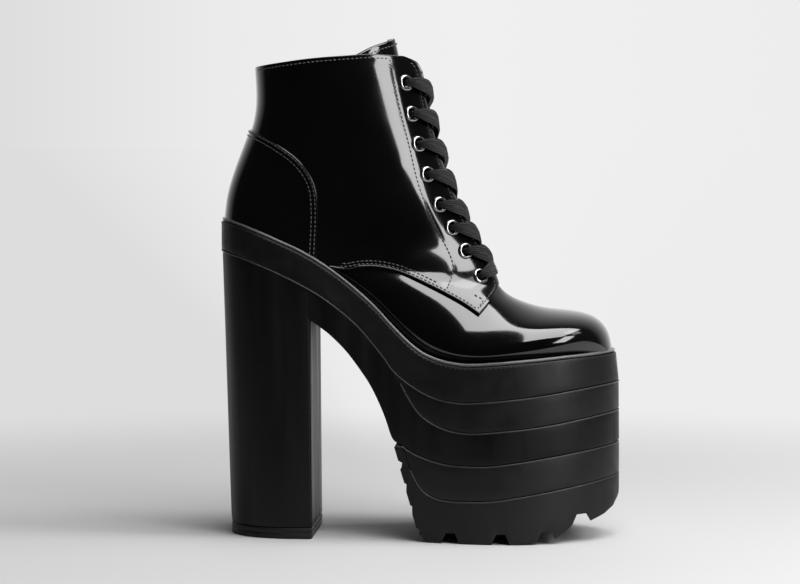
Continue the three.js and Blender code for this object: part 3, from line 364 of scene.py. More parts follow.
def finish(name, color, roughness, tint, bumps, rough=None, pattern=None, **sockets):
    """A material whose tint, bumps and roughness follow noises, given by size, detail and stretch.

    Where a noise is None they follow the material's own pattern. Bump depths are millimetres.
    """
    mat, tree, shader = start_material(name, color, roughness, **sockets)
    own = pattern(tree) if pattern else None

    def source(spec):
        return noise(tree, *spec) if spec else own

    spec, dark, light, low, high = (*tint, 0.3, 0.7)[:5]
    tree.links.new(add_ramp(tree, source(spec), ((low, dark), (high, light))), shader.inputs["Base Color"])
    if rough:
        spec, low, high = rough
        remap = add_node(tree, "MapRange", source(spec), From_Min=0.3, From_Max=0.7, To_Min=low, To_Max=high)
        tree.links.new(remap.outputs["Result"], shader.inputs["Roughness"])
    target = shader.inputs["Normal"]
    for spec, depth in reversed(bumps):
        made = add_node(tree, "Bump", Strength=1.0, Distance=depth / 1000)
        tree.links.new(source(spec), made.inputs["Height"])
        tree.links.new(made.outputs["Normal"], target)
        target = made.inputs["Normal"]
    return mat


def times(color, *factors):
    return tuple(c * f for c, f in zip(color, factors * 3))


def rubber(name, color, roughness, grain=0.5):
    return finish(name, color, roughness, ((34, 5), color, times(color, 1.7)),
                  [((7, 4), 0.05), ((grain, 2), 0.018)],
                  ((9, 5), roughness - 0.07, roughness + 0.09), Specular_IOR_Level=0.28)


def cloth(name, color, size, roughness=0.9, sheen=0.25, depth=0.12):
    return finish(name, color, roughness, (None, times(color, 0.55), times(color, 1.5), 0.1, 0.8),
                  [((12, 3), 0.1), (None, depth)], pattern=lambda tree: weave(tree, size),
                  Sheen_Weight=sheen, Sheen_Roughness=0.4)


def thread(name, grey):
    color = (grey, grey, grey)
    tint = ((0.7, 2), times(color, 0.6, 0.6, 0.62), times(color, 2.1, 2.1, 2.2))
    return finish(name, color, 0.45, tint, [((0.35, 2), 0.03)], Sheen_Weight=0.2)


def metal(name, color, roughness, streak=0.4):
    return finish(name, color, roughness, ((5, 3), times(color, 0.86), color), [((0.9, 3), 0.004)],
                  ((3, 4, (1, 1, streak)), roughness * 0.7, roughness * 1.6), Metallic=1.0)


def speckled(name, dark, light, size, roughness, depth):
    def cells(tree):
        vector = coordinates(tree, (1000 / size,) * 3)
        return add_node(tree, "TexVoronoi", vector, Scale=1.0).outputs["Distance"]

    return finish(name, dark, roughness, ((size * 2, 4), dark, light), [(None, depth)],
                  ((size * 6, 3), roughness - 0.08, min(1.0, roughness + 0.05)), cells)


RUBBER_BLACK = (0.0035, 0.0035, 0.0036)
PATENT = finish(
    "patent_leather", (0.0015, 0.0015, 0.0016), 0.09,
    ((60, 2), (0.001, 0.001, 0.0011), (0.0025, 0.0025, 0.0027)), [((18, 2), 0.05), ((1.1, 2), 0.0035)],
    ((26, 4), 0.07, 0.13), Coat_Weight=0.5, Coat_Roughness=0.03)
HEEL_COVER = finish(
    "heel_cover", (0.002, 0.002, 0.0021), 0.42,
    ((40, 6, (2.2, 2.2, 0.3)), (0.0015, 0.0015, 0.0016), (0.004, 0.004, 0.0042)),
    [((16, 4, (1.5, 1.5, 0.25)), 0.06), ((0.6, 2), 0.012)],
    ((14, 5, (1.6, 1.6, 0.16)), 0.33, 0.55), Specular_IOR_Level=0.2)
# The lace's UV runs along it in millimetres and across it in ribs.
LACE = finish(
    "woven_lace", (0.012, 0.012, 0.0125), 0.8,
    (None, (0.0015, 0.0015, 0.0016), (0.014, 0.014, 0.0145), 0.1, 0.75), [(None, 0.24), ((0.5, 2), 0.05)],
    pattern=lambda tree: weave(tree, 1, "UV", 0.7), Sheen_Weight=0.08, Sheen_Roughness=0.35)
BAND_RUBBER = rubber("band_rubber", RUBBER_BLACK, 0.44)
LAYER_RUBBER = rubber("layer_rubber", RUBBER_BLACK, 0.42)
TREAD_RUBBER = rubber("tread_rubber", RUBBER_BLACK, 0.52, 0.8)
# The lips are a lighter grey than the layers' rubber: a painted highlight along each groove's edge.
LIP_HIGHLIGHT_RUBBER = rubber("lip_rubber_painted_highlight", (0.02, 0.02, 0.0203), 0.34)
# The welt bead is a lighter grey than the band's rubber: a painted highlight, the thin bright line along its
# rounded top.
WELT_HIGHLIGHT_RUBBER = rubber("welt_painted_highlight", (0.07, 0.07, 0.071), 0.2)
LINING = cloth("knit_lining", (0.02, 0.019, 0.019), 1.1)
SOCK = cloth("sock_cloth", (0.03, 0.029, 0.028), 0.9)
ZIP_TAPE = cloth("zip_tape_weave", (0.012, 0.012, 0.0125), 0.6, 0.85, 0.2, 0.06)
THREAD = thread("waxed_thread", 0.032)
DARK_THREAD = thread("black_thread", 0.006)
EYELET_METAL = metal("polished_nickel", (0.5, 0.5, 0.51), 0.16)
ZIP_METAL = metal("zip_nickel", (0.62, 0.62, 0.64), 0.2)
PLAIN_STEEL = metal("plain_steel", (0.5, 0.5, 0.51), 0.34, 0.1)
FOAM = speckled("cut_foam", (0.10, 0.10, 0.097), (0.2, 0.2, 0.195), 1.2, 0.92, 0.3)
BOARD = speckled("pressed_board", (0.05, 0.042, 0.034), (0.1, 0.085, 0.07), 0.8, 0.85, 0.08)
STIFFENER = speckled("pressed_felt", (0.018, 0.018, 0.018), (0.045, 0.044, 0.043), 0.7, 0.88, 0.1)
LACE_TIP = speckled("moulded_tip", (0.01, 0.01, 0.01), (0.02, 0.02, 0.02), 2.0, 0.2, 0.01)
# CAD nodes that stay as they are, by the material that they get.
KEPT_NODES = {
    STIFFENER: ["facing_stay_lateral", "facing_stay_medial", "heel_counter", "toe_puff"],
    FOAM: ["collar_foam_lateral", "collar_foam_medial"],
    BOARD: ["insole_board"],
    PLAIN_STEEL: ["steel_shank", "heel_screw", "top_piece_pin_1", "top_piece_pin_2"],
}


# ---- mesh making -----------------------------------------------------------------------------
def make_object(name, shape, mat, body="boot", replaces=(), uvs=None, sharp=50):
    """A piece from points in side-view millimetres and faces, which are turned to point outwards."""
    points, faces = shape
    metres = (np.asarray(points, float) + (SHIFT_X, 0, 0)) / 1000
    mesh = bpy.data.meshes.new(name)
    mesh.from_pydata(metres.tolist(), [], faces)
    if uvs is not None:
        layer = mesh.uv_layers.new(name="UVMap")
        corners = np.array([loop.vertex_index for loop in mesh.loops])
        layer.data.foreach_set("uv", np.asarray(uvs, float)[corners].ravel())
    work = bmesh.new()
    work.from_mesh(mesh)
    bmesh.ops.remove_doubles(work, verts=work.verts, dist=2e-6)
    bmesh.ops.dissolve_degenerate(work, edges=work.edges, dist=1e-7)
    bmesh.ops.recalc_face_normals(work, faces=work.faces)
    work.to_mesh(mesh)
    work.free()
    mesh.shade_smooth()
    mesh.set_sharp_from_angle(angle=math.radians(sharp))
    mesh.materials.append(mat)
    piece = bpy.data.objects.new(name, mesh)
    bpy.context.scene.collection.objects.link(piece)
    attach(piece, body)
    if replaces:
        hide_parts(*replaces)
    return piece


def cover(node, ending, shape, mat, **more):
    """A piece that stands for a CAD node and is named after it."""
    return make_object(f"{node}_{ending}", shape, mat, replaces=[node], **more)


def grid_faces(columns, rows, wrap=False):
    """Quads of a grid of points stored row by row."""
    quads = []
    for start in range(0, (rows - 1) * columns, columns):
        for i in range(columns if wrap else columns - 1):
            a, b = start + i, start + (i + 1) % columns
            quads.append((a, b, b + columns, a + columns))
    return quads


def rings_mesh(rings):
    """Points and faces of closed rings of equal count joined in a row, capped at both ends."""
    count = len(rings[0])
    points = np.concatenate(rings)
    faces = grid_faces(count, len(rings), wrap=True)
    faces.append(tuple(range(count)))
    faces.append(tuple(range(len(points) - count, len(points))))
    return points, faces


def merge_meshes(parts):
    """Joins (points, faces) pairs into one."""
    points, faces, start = [], [], 0
    for part_points, part_faces in parts:
        points.append(part_points)
        faces += [tuple(start + i for i in face) for face in part_faces]
        start += len(part_points)
    return np.concatenate(points), faces


def full_turn(sides):
    return np.arange(sides) * 2 * math.pi / sides


def frames_along(path, ups):
    """Sideways and upward unit directions of a path of points."""
    tangents = unit(np.gradient(path, axis=0))
    across = unit(np.cross(tangents, ups))
    return across, np.cross(across, tangents)


def tube(path, ups, radius, sides):
    angles = full_turn(sides)[:, None]
    radii = np.broadcast_to(radius, len(path))
    return [centre + r * (np.cos(angles) * a + np.sin(angles) * u)
            for centre, r, a, u in zip(path, radii, *frames_along(path, ups))]


def lathe(profile, centre, axis, sides=48):
    """Turns a profile of (radius, height) about an axis through a centre."""
    axis = np.asarray(axis, float)
    first = unit(np.cross((0, 0, 1) if abs(axis[2]) < 0.9 else (1, 0, 0), axis))
    angles = full_turn(sides)[:, None]
    wheel = np.cos(angles) * first + np.sin(angles) * np.cross(axis, first)
    return [np.asarray(centre) + r * wheel + h * axis for r, h in profile]


# ---- patches of the upper --------------------------------------------------------------------
def edge_marks(length, cells, rim):
    """Marks from 0 to 1, evenly spaced but closer together along both rims."""
    fine = np.array([0, 0.07, 0.28, 0.6, 1.0]) * rim / length
    middle = np.linspace(fine[-1], 1 - fine[-1], cells + 1)
    return np.concatenate([fine[:-1], middle, 1 - fine[:-1][::-1]])


def coons(outline, u, w):
    """Places inside an outline of four sides, for every u along it and w down it."""
    top, bottom, back, front = (outline[side] for side in ("top", "bottom", "back", "front"))
    right, down = u[None, :, None], w[:, None, None]
    sides = (1 - down) * top(u)[None] + down * bottom(u)[None]
    sides = sides + (1 - right) * back(w)[:, None] + right * front(w)[:, None]
    upper = (1 - right) * top(0.0) + right * top(1.0)
    lower = (1 - right) * bottom(0.0) + right * bottom(1.0)
    return sides - (1 - down) * upper - down * lower


def nearness(points, lines):
    """Distance from each point to the nearest point of some lines."""
    targets = np.concatenate(lines)
    nearest = [np.sqrt(((chunk[:, None] - targets[None]) ** 2).sum(-1).min(1))
               for chunk in np.array_split(points, max(1, len(points) // 400))]
    return np.concatenate(nearest)


def wobble(points):
    """Gentle unevenness of stretched leather, from -1 to 1."""
    x, y, z = points.T
    waves = np.sin(x / 9.3 + z / 17.0) + np.sin(z / 11.7 - y / 13.1 + 1.3) + np.sin((x + y) / 23.0 + 0.4)
    return waves / 3


def patch_mesh(outline, layer, spacing=1.6, rim=0.5, crowding=1.0, seams=(), holes=(), lean=None,
               puff=0.0, uneven=0.0):
    """Points and faces of a leather: a closed sheet between two offsets with rounded rims."""
    half, whole = np.array([0.5]), np.linspace(0, 1, 30)
    width = running_length(surface(*coons(outline, whole, half)[0].T))[-1]
    height = running_length(surface(*coons(outline, half, whole)[:, 0].T))[-1]
    u = edge_marks(width, max(6, int(width / spacing)), rim)
    marks = edge_marks(height, max(6, int(height / spacing)), rim)
    w = 1 - (1 - marks) ** crowding
    psi, v = np.moveaxis(coons(outline, u, w), -1, 0).reshape(2, -1)
    inset_u = np.minimum(u, 1 - u) * width
    inset_w = np.minimum(marks, 1 - marks) * height
    inset = np.minimum(inset_u[None, :], inset_w[:, None]).ravel()
    drop = rim * (1 - np.sqrt(1 - (1 - np.minimum(inset / rim, 1)) ** 2))
    base = surface(psi, v)
    crown = puff * smoothstep(0, 9, inset) + uneven * wobble(base) * smoothstep(0, 8, inset)
    outer = layer[0] - drop + crown
    inner = layer[1] + drop * 0.6
    if len(seams):
        outer = outer - 0.1 * np.exp(-(nearness(base, seams) / 1.2) ** 2)
    shift = 0 if lean is None else lean(v)
    out = normal(psi, v)
    sheets = [base + out * (offset - shift)[:, None] for offset in (outer, inner)]
    columns, rows = len(u), len(w)
    size = columns * rows
    faces = grid_faces(columns, rows)
    if len(holes):
        centres = base[np.array(faces)].mean(1)
        faces = [face for face, gap in zip(faces, nearness(centres, [np.array(holes)])) if gap > HOLE_RADIUS]
    faces = faces + [tuple(size + i for i in face[::-1]) for face in faces]
    grid = np.arange(size).reshape(rows, columns)
    loop = np.concatenate([grid[0], grid[1:, -1], grid[-1, -2::-1], grid[-2:0:-1, 0]]).tolist()
    for a, b in zip(loop, loop[1:] + loop[:1]):
        faces.append((a, b, b + size, a + size))
    return np.concatenate(sheets), faces


def outline_of(top, bottom, back, front):
    return {"top": trace(top), "bottom": trace(bottom), "back": trace(back), "front": trace(front)}


def folded_outline(top, bottom, side, turn):
    """An outline whose far half is a turned copy of the near half."""
    whole = [np.concatenate([line, turn(line)[::-1][1:]]) for line in (top, bottom)]
    return outline_of(*whole, side, turn(side))


def flipped(outline):
    return {side: (lambda t, line=line: line(t) * (-1, 1)) for side, line in outline.items()}


# ---- outlines of the upper -------------------------------------------------------------------
TOP_BACK = back_point(272.6)
FEATHER_BACK = back_point(184.0)
COLLAR = [(37, 274.8), (54.4, 277), (71.8, 278.5), (89.2, 279.6)]
COLLAR_FRONT = (107.7, 278.9)
FACING_EDGE = [
    (113.6, 276.2), (117.2, 270.5), (118.6, 262), (121.7, 248), (126.4, 229.5), (132.3, 211), (137, 199),
    (141.4, 188.5), (147.2, 178), (152.7, 168), (157.8, 158), (161.6, 149.6), (162.2, 144.4), (157.9, 138),
]
TAB_CORNER = (152, 131.3)
HEEL_FEATHER = [(12, 181.6), (22, 178.4), (36, 172.4), (52, 164.9)]
WING_ROOT = (66, 157.6)
VAMP_SEAM = [(75.2, 156.6), (84, 158), (94, 157.8), (106.6, 154.9), (124, 147.2), (141.4, 138.2)]
VAMP_FEATHER = [
    (77.6, 147.9), (92.3, 134.8), (106.9, 119.2), (118.7, 109.3), (130.4, 104), (145, 101.9), (165, 102.8),
    (187.9, 104.8), (207, 106.6), (219, 107.4), (226.6, 107.7),
]
LAP_LINE = [(75, 164), (92, 165.6), (110, 161.3), (128, 153.5), (144, 146.3), (154.6, 144.6)]
LINING_SEAM = [(75.2, 163), (84, 166.5), (94, 167.5), (108, 164), (126, 156.5), (142, 150.5)]
LINING_CORNER = (150.5, 149.5)
ZIP_TOP, ZIP_BOTTOM = (75, 272), (68.5, 171)
ZIP_SLOT_HALF_WIDTH = 4.8
EYELETS = [
    (109.4, 263.3), (112.9, 245.5), (116.8, 228.3), (121.8, 210.8), (128.7, 193.3), (135.8, 179.9),
    (143.6, 166.4), (152.1, 151.7),
]
FACING_STITCH = [
    (100.2, 277.2), (102, 269), (104.9, 254.6), (108.3, 240.1), (112, 225.6), (115.2, 211.1), (119, 198.3),
    (123.6, 186.7), (129.2, 175.1), (133.5, 167), (136.3, 159.5), (136.4, 153.5), (133.2, 145),
]
BAR_TACK = [(148.6, 141.8), (151.2, 140.3), (154, 138.6), (152.6, 136.2), (151, 133.6)]
PATCH_RIDGE = [(59.2, 191), (58.2, 202.5), (54.4, 211.4), (47.3, 220), (36.6, 227.6), (27, 232.8)]
PATCH_SIDE = [(58, 161.8), (59, 180), (59.2, 191)]
PATCH_PEAK = back_point(236.5)
TOP_EDGE = [TOP_BACK, *COLLAR, COLLAR_FRONT]
LOWER_EDGE = [WING_ROOT, *VAMP_SEAM, TAB_CORNER]
PATCH_EDGE = [*PATCH_SIDE, *PATCH_RIDGE[1:], PATCH_PEAK]
# The zip parts the inner side's seam lines between these places.
BEHIND_ZIP, AHEAD_OF_ZIP = 69, 82


def zip_line(shift, foot=None, head=278.4):
    """A side-view line beside the zip's chain; shift moves it towards the toe."""
    lean = (ZIP_TOP[0] - ZIP_BOTTOM[0]) / (ZIP_TOP[1] - ZIP_BOTTOM[1])
    foot = 158.6 - shift * 0.45 if foot is None else foot
    return [(ZIP_TOP[0] + (z - ZIP_TOP[1]) * lean + shift, z) for z in (head, 262, 240, 218, 196, 178, foot)]


def quarter_outlines(lining=False):
    """The outlines of the outer side, and of the inner side's parts in front of and behind the zip."""
    front_edge, back_edge = zip_line(ZIP_SLOT_HALF_WIDTH), zip_line(-ZIP_SLOT_HALF_WIDTH)
    top = [front_edge[0], COLLAR[-1], (99, 279.8), COLLAR_FRONT]
    facing, seam, root, corner = FACING_EDGE, VAMP_SEAM, WING_ROOT, TAB_CORNER
    if lining:
        facing, seam, root, corner = FACING_EDGE[:-4], LINING_SEAM, (64, 160.5), LINING_CORNER
        front_edge = front_edge[:-1]
    facing = side_path([COLLAR_FRONT, *facing, corner])
    back = side_places([TOP_BACK, FEATHER_BACK])
    feather = [FEATHER_BACK, *HEEL_FEATHER]
    outer = outline_of(side_path(TOP_EDGE), side_path([*feather, root, *seam, corner]), back, facing)
    foot = side_path([front_edge[-1], *seam[1:], corner])
    in_front = outline_of(side_path(top), foot, side_path(front_edge), facing)
    top = side_path([TOP_BACK, *COLLAR[:2], back_edge[0]])
    behind = outline_of(top, side_path([*feather, back_edge[-1]]), back, side_path(back_edge))
    return outer, flipped(in_front), flipped(behind)


def vamp_outline():
    rear = side_path([(66, 163.4), *LAP_LINE, front_point(151.5)])
    feather = side_path([(66, 156.6), *VAMP_FEATHER, front_point(107.8)])
    return folded_outline(rear, feather, np.array([rear[0], feather[0]]), mirrored)


def heel_patch_outline():
    ridge = side_path([*PATCH_RIDGE, PATCH_PEAK])
    foot = [PATCH_SIDE[0], (44, 168.8), (31, 174.8), (18, 179.9), (9, 182.4), back_point(183.9)]
    return folded_outline(ridge, side_path(foot), side_path(PATCH_SIDE)[::-1], wrapped)


def tongue_outline():
    def beside(points, *ends):
        return smooth_line([*ends[:1], *(beside_front(z, y) for z, y in points), *ends[1:]], 8)

    side = beside(((280.4, 33), (262, 30), (235, 25.5), (205, 21), (178, 18), (154.5, 14)))
    shoulder = beside(((285.4, 27.5), (288.7, 19.5), (290.8, 9.5)), side[0], front_place(292.3))
    foot = beside(((153.5, 7),), side[-1], front_place(153.2))
    return folded_outline(shoulder, foot, side, mirrored)


EYELET_PLACES = [side_places(EYELETS) * (side, 1) for side in (1, -1)]
QUARTERS = ("lateral", "medial_front", "medial_back")
HOLES = [*(surface(*places.T) for places in EYELET_PLACES), ()]


# ---- seams -----------------------------------------------------------------------------------
def inset_line(points, distance):
    """A side-view line moved square to itself; positive is to the right of its run."""
    dense = smooth_line(points)
    run = unit(np.gradient(dense, axis=0))
    return dense + np.stack([run[:, 1], -run[:, 0]], -1) * distance


def seam_line(points, side=1, lift=0.0):
    """A seam's points and normals on the outer (1) or inner (-1) side, from a side-view line."""
    psi, v = (side_places(points) * (side, 1)).T
    return offset_point(psi, v, np.full(len(psi), lift)), normal(psi, v)


def stitch_mesh(seam, pitch=2.5, length=1.85, radius=0.3):
    """Points and faces of a row of stitches: short arched threads that dive in at both ends."""
    points, normals = seam
    marks = running_length(points)
    count = max(2, int(marks[-1] / pitch))
    arch = np.array([-0.35, 0.1, 0.2, 0.1, -0.35])[:, None]
    thickness = np.array([0.55, 1, 1.05, 1, 0.55]) * radius
    parts = []
    for k in range(count):
        at = (k + 0.5) * marks[-1] / count + np.linspace(-0.5, 0.5, 5) * length
        ups = resample(at, marks, normals)
        parts.append(rings_mesh(tube(resample(at, marks, points) + ups * arch, ups, thickness, 6)))
    return merge_meshes(parts)


def add_stitches(name, seams, body="boot", mat=THREAD, **shape):
    make_object(name, merge_meshes([stitch_mesh(seam, **shape) for seam in seams]), mat, body)


def quarter_seams():
    """Stitch lines sewn through a quarter, as dense side-view lines."""
    return {
        "facing": smooth_line(FACING_STITCH),
        "collar": inset_line(TOP_EDGE, 2.2)[4:-8],
        "facing_edge": inset_line([COLLAR_FRONT, *FACING_EDGE, TAB_CORNER], 2.1)[14:-6],
        "lower_outer": inset_line(LOWER_EDGE, -1.3)[10:-5],
        "lower_inner": inset_line(LOWER_EDGE, -3)[12:-30],
        "bar_tack": smooth_line(BAR_TACK, 8),
    }


# ---- the upper -------------------------------------------------------------------------------
def ahead_of_zip(line):
    return line[line[:, 0] > AHEAD_OF_ZIP]


def build_leathers():
    seams = quarter_seams()
    outer = [seam_line(line) for line in seams.values()]
    cut_lines = [line if name in ("facing", "facing_edge", "bar_tack") else ahead_of_zip(line)
                 for name, line in seams.items()]
    back_row, front_row = (smooth_line(zip_line(shift, 164, 276)) for shift in (-7.3, 7.3))
    front = [seam_line(line, -1) for line in (*cut_lines, front_row)]
    collar = seams["collar"]
    back = [seam_line(line, -1) for line in (collar[collar[:, 0] < BEHIND_ZIP], back_row)]
    ridges = [inset_line(PATCH_EDGE, distance) for distance in (-1.3, -3.6)]
    for name, outline, rows, holes in zip(QUARTERS, quarter_outlines(), (outer, front, back), HOLES):
        build_leather(f"quarter_{name}", outline, QUARTER_LAYER, rows, holes=holes)
    build_leather("vamp", vamp_outline(), VAMP_LAYER, crowding=TOE_CROWDING, spacing=1.5, uneven=0.1)
    patch_dents = [seam_line(line, side) for side in (1, -1) for line in ridges]
    build_leather("heel_patch", heel_patch_outline(), PATCH_LAYER, patch_dents, rim=0.4)
    add_stitches("stitching_outer_side", outer)
    add_stitches("stitching_inner_front", front)
    add_stitches("stitching_inner_back", back)
    patch_rows = [seam_line(line, side, PATCH_LAYER[0]) for line in ridges for side in (1, -1)]
    add_stitches("stitching_heel_patch", patch_rows)
    build_edge_rolls()


def build_leather(name, outline, layer, seams=(), uneven=0.4, **detail):
    """A leather whose surface is pressed in along its seams."""
    dents = [points for points, _ in seams]
    cover(name, "leather", patch_mesh(outline, layer, seams=dents, uneven=uneven, **detail), PATENT)


def build_edge_rolls():
    """Folded edges of the quarters and the heel patch, which stand a little proud of the leather."""
    patch_edge, lower = inset_line(PATCH_EDGE, -0.4), inset_line(LOWER_EDGE, -0.35)
    rolls = [seam_line(line, side, lift) for side in (1, -1)
             for line, lift in ((patch_edge, PATCH_LAYER[0] - 0.3), (ahead_of_zip(lower), -0.3))]
    rolls.append(seam_line(lower[lower[:, 0] <= AHEAD_OF_ZIP], 1, -0.3))
    parts = [rings_mesh(tube(points, normals, ROLL_RADIUS, 8)) for points, normals in rolls]
    make_object("folded_edges", merge_meshes(parts), PATENT)


def build_linings():
    for name, outline, holes in zip(QUARTERS, quarter_outlines(True), HOLES):
        sheet = patch_mesh(outline, LINING_LAYER, 2.4, 0.3, holes=holes)
        cover(f"quarter_lining_{name}", "cloth", sheet, LINING)
    sheet = patch_mesh(vamp_outline(), VAMP_LINING_LAYER, 2.4, 0.3, TOE_CROWDING)
    cover("vamp_lining", "cloth", sheet, LINING)


def build_tongue():
    def lean(v):
        return TONGUE_LEAN * smoothstep(0, 2.4, 3.2 - v)

    outline = tongue_outline()
    sheet = patch_mesh(outline, TONGUE_COVER, rim=0.9, lean=lean, puff=0.5, uneven=0.2)
    cover("tongue_cover", "shaped", sheet, PATENT, body="tongue")
    for name, layer, mat in (("tongue_foam", TONGUE_FOAM, FOAM), ("tongue_lining", TONGUE_LINING, LINING)):
        piece = cover(name, "shaped", patch_mesh(outline, layer, rim=0.4, lean=lean), mat, body="tongue")
    marks = np.linspace(0.03, 0.5, 64)
    sides = [coons(outline, np.array([u]), marks)[:, 0] for u in TONGUE_SEAM]
    top = coons(outline, np.linspace(*TONGUE_SEAM, 40), np.array([0.022]))[0]
    psi, v = np.concatenate([sides[0][::-1], top, sides[1]]).T
    lift = TONGUE_COVER[0] + 0.35 - lean(v)
    add_stitches("stitching_tongue", [(offset_point(psi, v, lift), normal(psi, v))], "tongue")


# ---- eyelets and lace ------------------------------------------------------------------------
EYELET_PROFILE = [
    (2.75, -5.4), (4.2, -5.4), (4.35, -5.15), (4.2, -4.95), (3.05, -4.9), (3.05, -0.2), (4.45, 0.0),
    (4.7, 0.2), (4.72, 0.45), (4.55, 0.85), (4.2, 1.2), (3.75, 1.38), (3.3, 1.3), (2.95, 1.0), (2.78, 0.5),
]
LACE_TIP_PROFILE = [
    (0.05, -0.4), (1.0, -0.35), (1.15, 0), (1.0, 1.0), (0.95, 7.2), (0.75, 8.6), (0.35, 9.1), (0.02, 9.2),
]
LACE_WIDTH = 8.6
LACE_THICKNESS = 1.25
LACE_RIBS = 6
LACE_STEP = 1.0
STRAND_RISE = 0.9
# Stations along parts of the lace: share of the way, height over the leather, width, and in a
# crossing how much of the upper strand's rise over the lower one the station takes.
CROSSING = [
    (0.0, -5.6, 3.6, 0), (0.07, -6.3, 5.0, 0), (0.2, -6.3, 7.0, 0), (0.32, -6.0, LACE_WIDTH, 0),
    (0.41, -4.2, LACE_WIDTH, 1), (0.5, -2.0, LACE_WIDTH, 1), (0.59, 0.7, LACE_WIDTH, 0.6),
    (0.68, 1.9, LACE_WIDTH, 0), (0.78, 2.5, LACE_WIDTH, 0), (0.88, 3.0, 7.4, 0), (0.95, 3.2, 5.4, 0),
]
IN_EYELET = [(2.6, 3.9), (0.9, 3.5), (-2.4, 3.5)]
TUCKED_END = [(0.0, 3.6), (0.12, 5.0), (0.4, 7.5), (0.7, 5.0)]
LOWEST_BAR = [
    (0.05, 3.1, 5.4), (0.15, 2.8, 7.6), (0.3, 1.7, LACE_WIDTH), (0.5, 0.4, LACE_WIDTH),
    (0.7, 1.7, LACE_WIDTH), (0.85, 2.8, 7.6), (0.95, 3.1, 5.4),
]


def build_eyelets():
    for side, side_name in enumerate(("lateral", "medial")):
        for row, (psi, v) in enumerate(EYELET_PLACES[side]):
            rings = lathe(EYELET_PROFILE, surface(psi, v), normal(psi, v))
            rings.append(rings[0])
            ring = np.concatenate(rings), grid_faces(len(rings[0]), len(rings), wrap=True)
            cover(f"eyelet_{side_name}_{row + 1}", "ring", ring, EYELET_METAL)


def lace_strand(side):
    """Stations (psi, v, height, width) from the lowest eyelet of a side up to the tucked end."""
    route = []
    rise = STRAND_RISE if side == 0 else -STRAND_RISE
    for row in range(len(EYELETS) - 1, -1, -1):
        psi, v = EYELET_PLACES[side][row]
        route += [(psi, v, height, width) for height, width in IN_EYELET]
        side = 1 - side
        if row:
            run = EYELET_PLACES[side][row - 1] - (psi, v)
            for t, height, width, share in CROSSING:
                fall = t - 0.11 * math.sin(2 * math.pi * t)
                route.append((psi + run[0] * t, v + run[1] * fall, height + rise * share, width))
        else:
            route += [(psi * (1 + 0.85 * t), v + 0.25 * t, -6.4, width) for t, width in TUCKED_END]
    return route


def lace_route():
    """Stations from the lateral end inside the shaft to the medial one."""
    left, right = EYELET_PLACES[0][-1], EYELET_PLACES[1][-1]
    bar = [(left[0] + (right[0] - left[0]) * t, left[1] - 0.5 * math.sin(math.pi * t), height, width)
           for t, height, width in LOWEST_BAR]
    return np.array([*lace_strand(0)[::-1], *bar, *lace_strand(1)])


def lace_section(width):
    """Outline of the lace across its width, ribbed on both faces, as (across, out) pairs."""
    angles = np.linspace(0, 2 * math.pi, 104, endpoint=False)
    across = np.sign(np.cos(angles)) * np.abs(np.cos(angles)) ** 0.55 * width / 2
    out = np.sign(np.sin(angles)) * np.abs(np.sin(angles)) ** 0.6 * LACE_THICKNESS / 2
    ribs = 0.34 * np.cos(across / width * 2 * math.pi * LACE_RIBS) * np.abs(np.sin(angles))
    return across, out + np.sign(out) * ribs


def ribbon_mesh(path, ups, widths):
    """The lace's mesh, with UVs that run along it and across it."""
    rings, uvs = [], []
    for centre, a, u, width, along in zip(path, *frames_along(path, ups), widths, running_length(path)):
        s, h = lace_section(width)
        gather = 1 + 0.5 * (1 - width / LACE_WIDTH)
        rings.append(centre + s[:, None] * a + gather * h[:, None] * u)
        uvs.append(np.stack([np.full(len(s), along * 2.2), s / width * LACE_RIBS * 2.0], -1))
    return rings_mesh(rings), np.concatenate(uvs)


def lace_path():
    """The lace's centre line as evenly spaced points, with the facing's normal and the width."""
    psi, v, height, width = smooth_line(lace_route(), 10).T
    path = offset_point(psi, v, height)
    marks = running_length(path)
    even = np.arange(0, marks[-1], LACE_STEP)
    line = blurred(resample(even, marks, path), np.array([1, 2, 3, 2, 1]) / 9)
    return line, resample(even, marks, normal(psi, v)), np.interp(even, marks, width)


def lace_ups(path, normals):
    """Which way the flat of the lace faces: off the leather, and along the facing in the eyelets."""
    tangents = unit(np.gradient(path, axis=0))
    steepness = (normals * tangents).sum(1, keepdims=True)
    flat = normals - steepness * tangents
    in_hole = np.cross(tangents, unit(np.cross(normals, (0, 1, 0))))
    in_hole *= np.sign((in_hole * flat).sum(1, keepdims=True))
    share = smoothstep(0.55, 0.9, np.abs(steepness))
    ups = flat * (1 - share) + in_hole * share
    for i in range(1, len(ups)):
        if (ups[i] * ups[i - 1]).sum() < 0:
            ups[i] *= -1
    return blurred(ups, np.ones(5) / 5)


def build_lace():
    path, normals, widths = lace_path()
    ribbon, uvs = ribbon_mesh(path, lace_ups(path, normals), widths)
    cover("lace", "woven", ribbon, LACE, uvs=uvs, sharp=70)
    for name, ends in (("lateral", path[:6]), ("medial", path[::-1][:6])):
        run = unit(ends[0] - ends[-1])
        tip = rings_mesh(lathe(LACE_TIP_PROFILE, ends[0] + run * GAP, run, 20))
        cover(f"lace_tip_{name}", "moulded", tip, LACE_TIP)


# ---- the sole --------------------------------------------------------------------------------
def raised(line, rise):
    return lambda x: line(x) + rise


def plan_outline():
    """Half of the plan outline with its inward directions: x, half width, inward x, inward y."""
    dense = smooth_line(SOLE_PLAN, 12)
    run = unit(np.gradient(dense, axis=0))
    inward = np.stack([run[:, 1], -run[:, 0]], -1)
    inward[0], inward[-1] = (1, 0), (-1, 0)
    return np.concatenate([dense, inward], 1)


PLAN = plan_outline()


def plan_from(x_from):
    inside = PLAN[PLAN[:, 0] > x_from]
    if x_from < PLAN[0, 0]:
        return inside
    return np.concatenate([[resample(x_from, PLAN[:, 0], PLAN)], inside])


def both_sides(half):
    """A closed ring from its inner half, whose ends are on the middle plane."""
    return np.concatenate([half, (half * (1, -1, 1))[::-1][1:-1]])


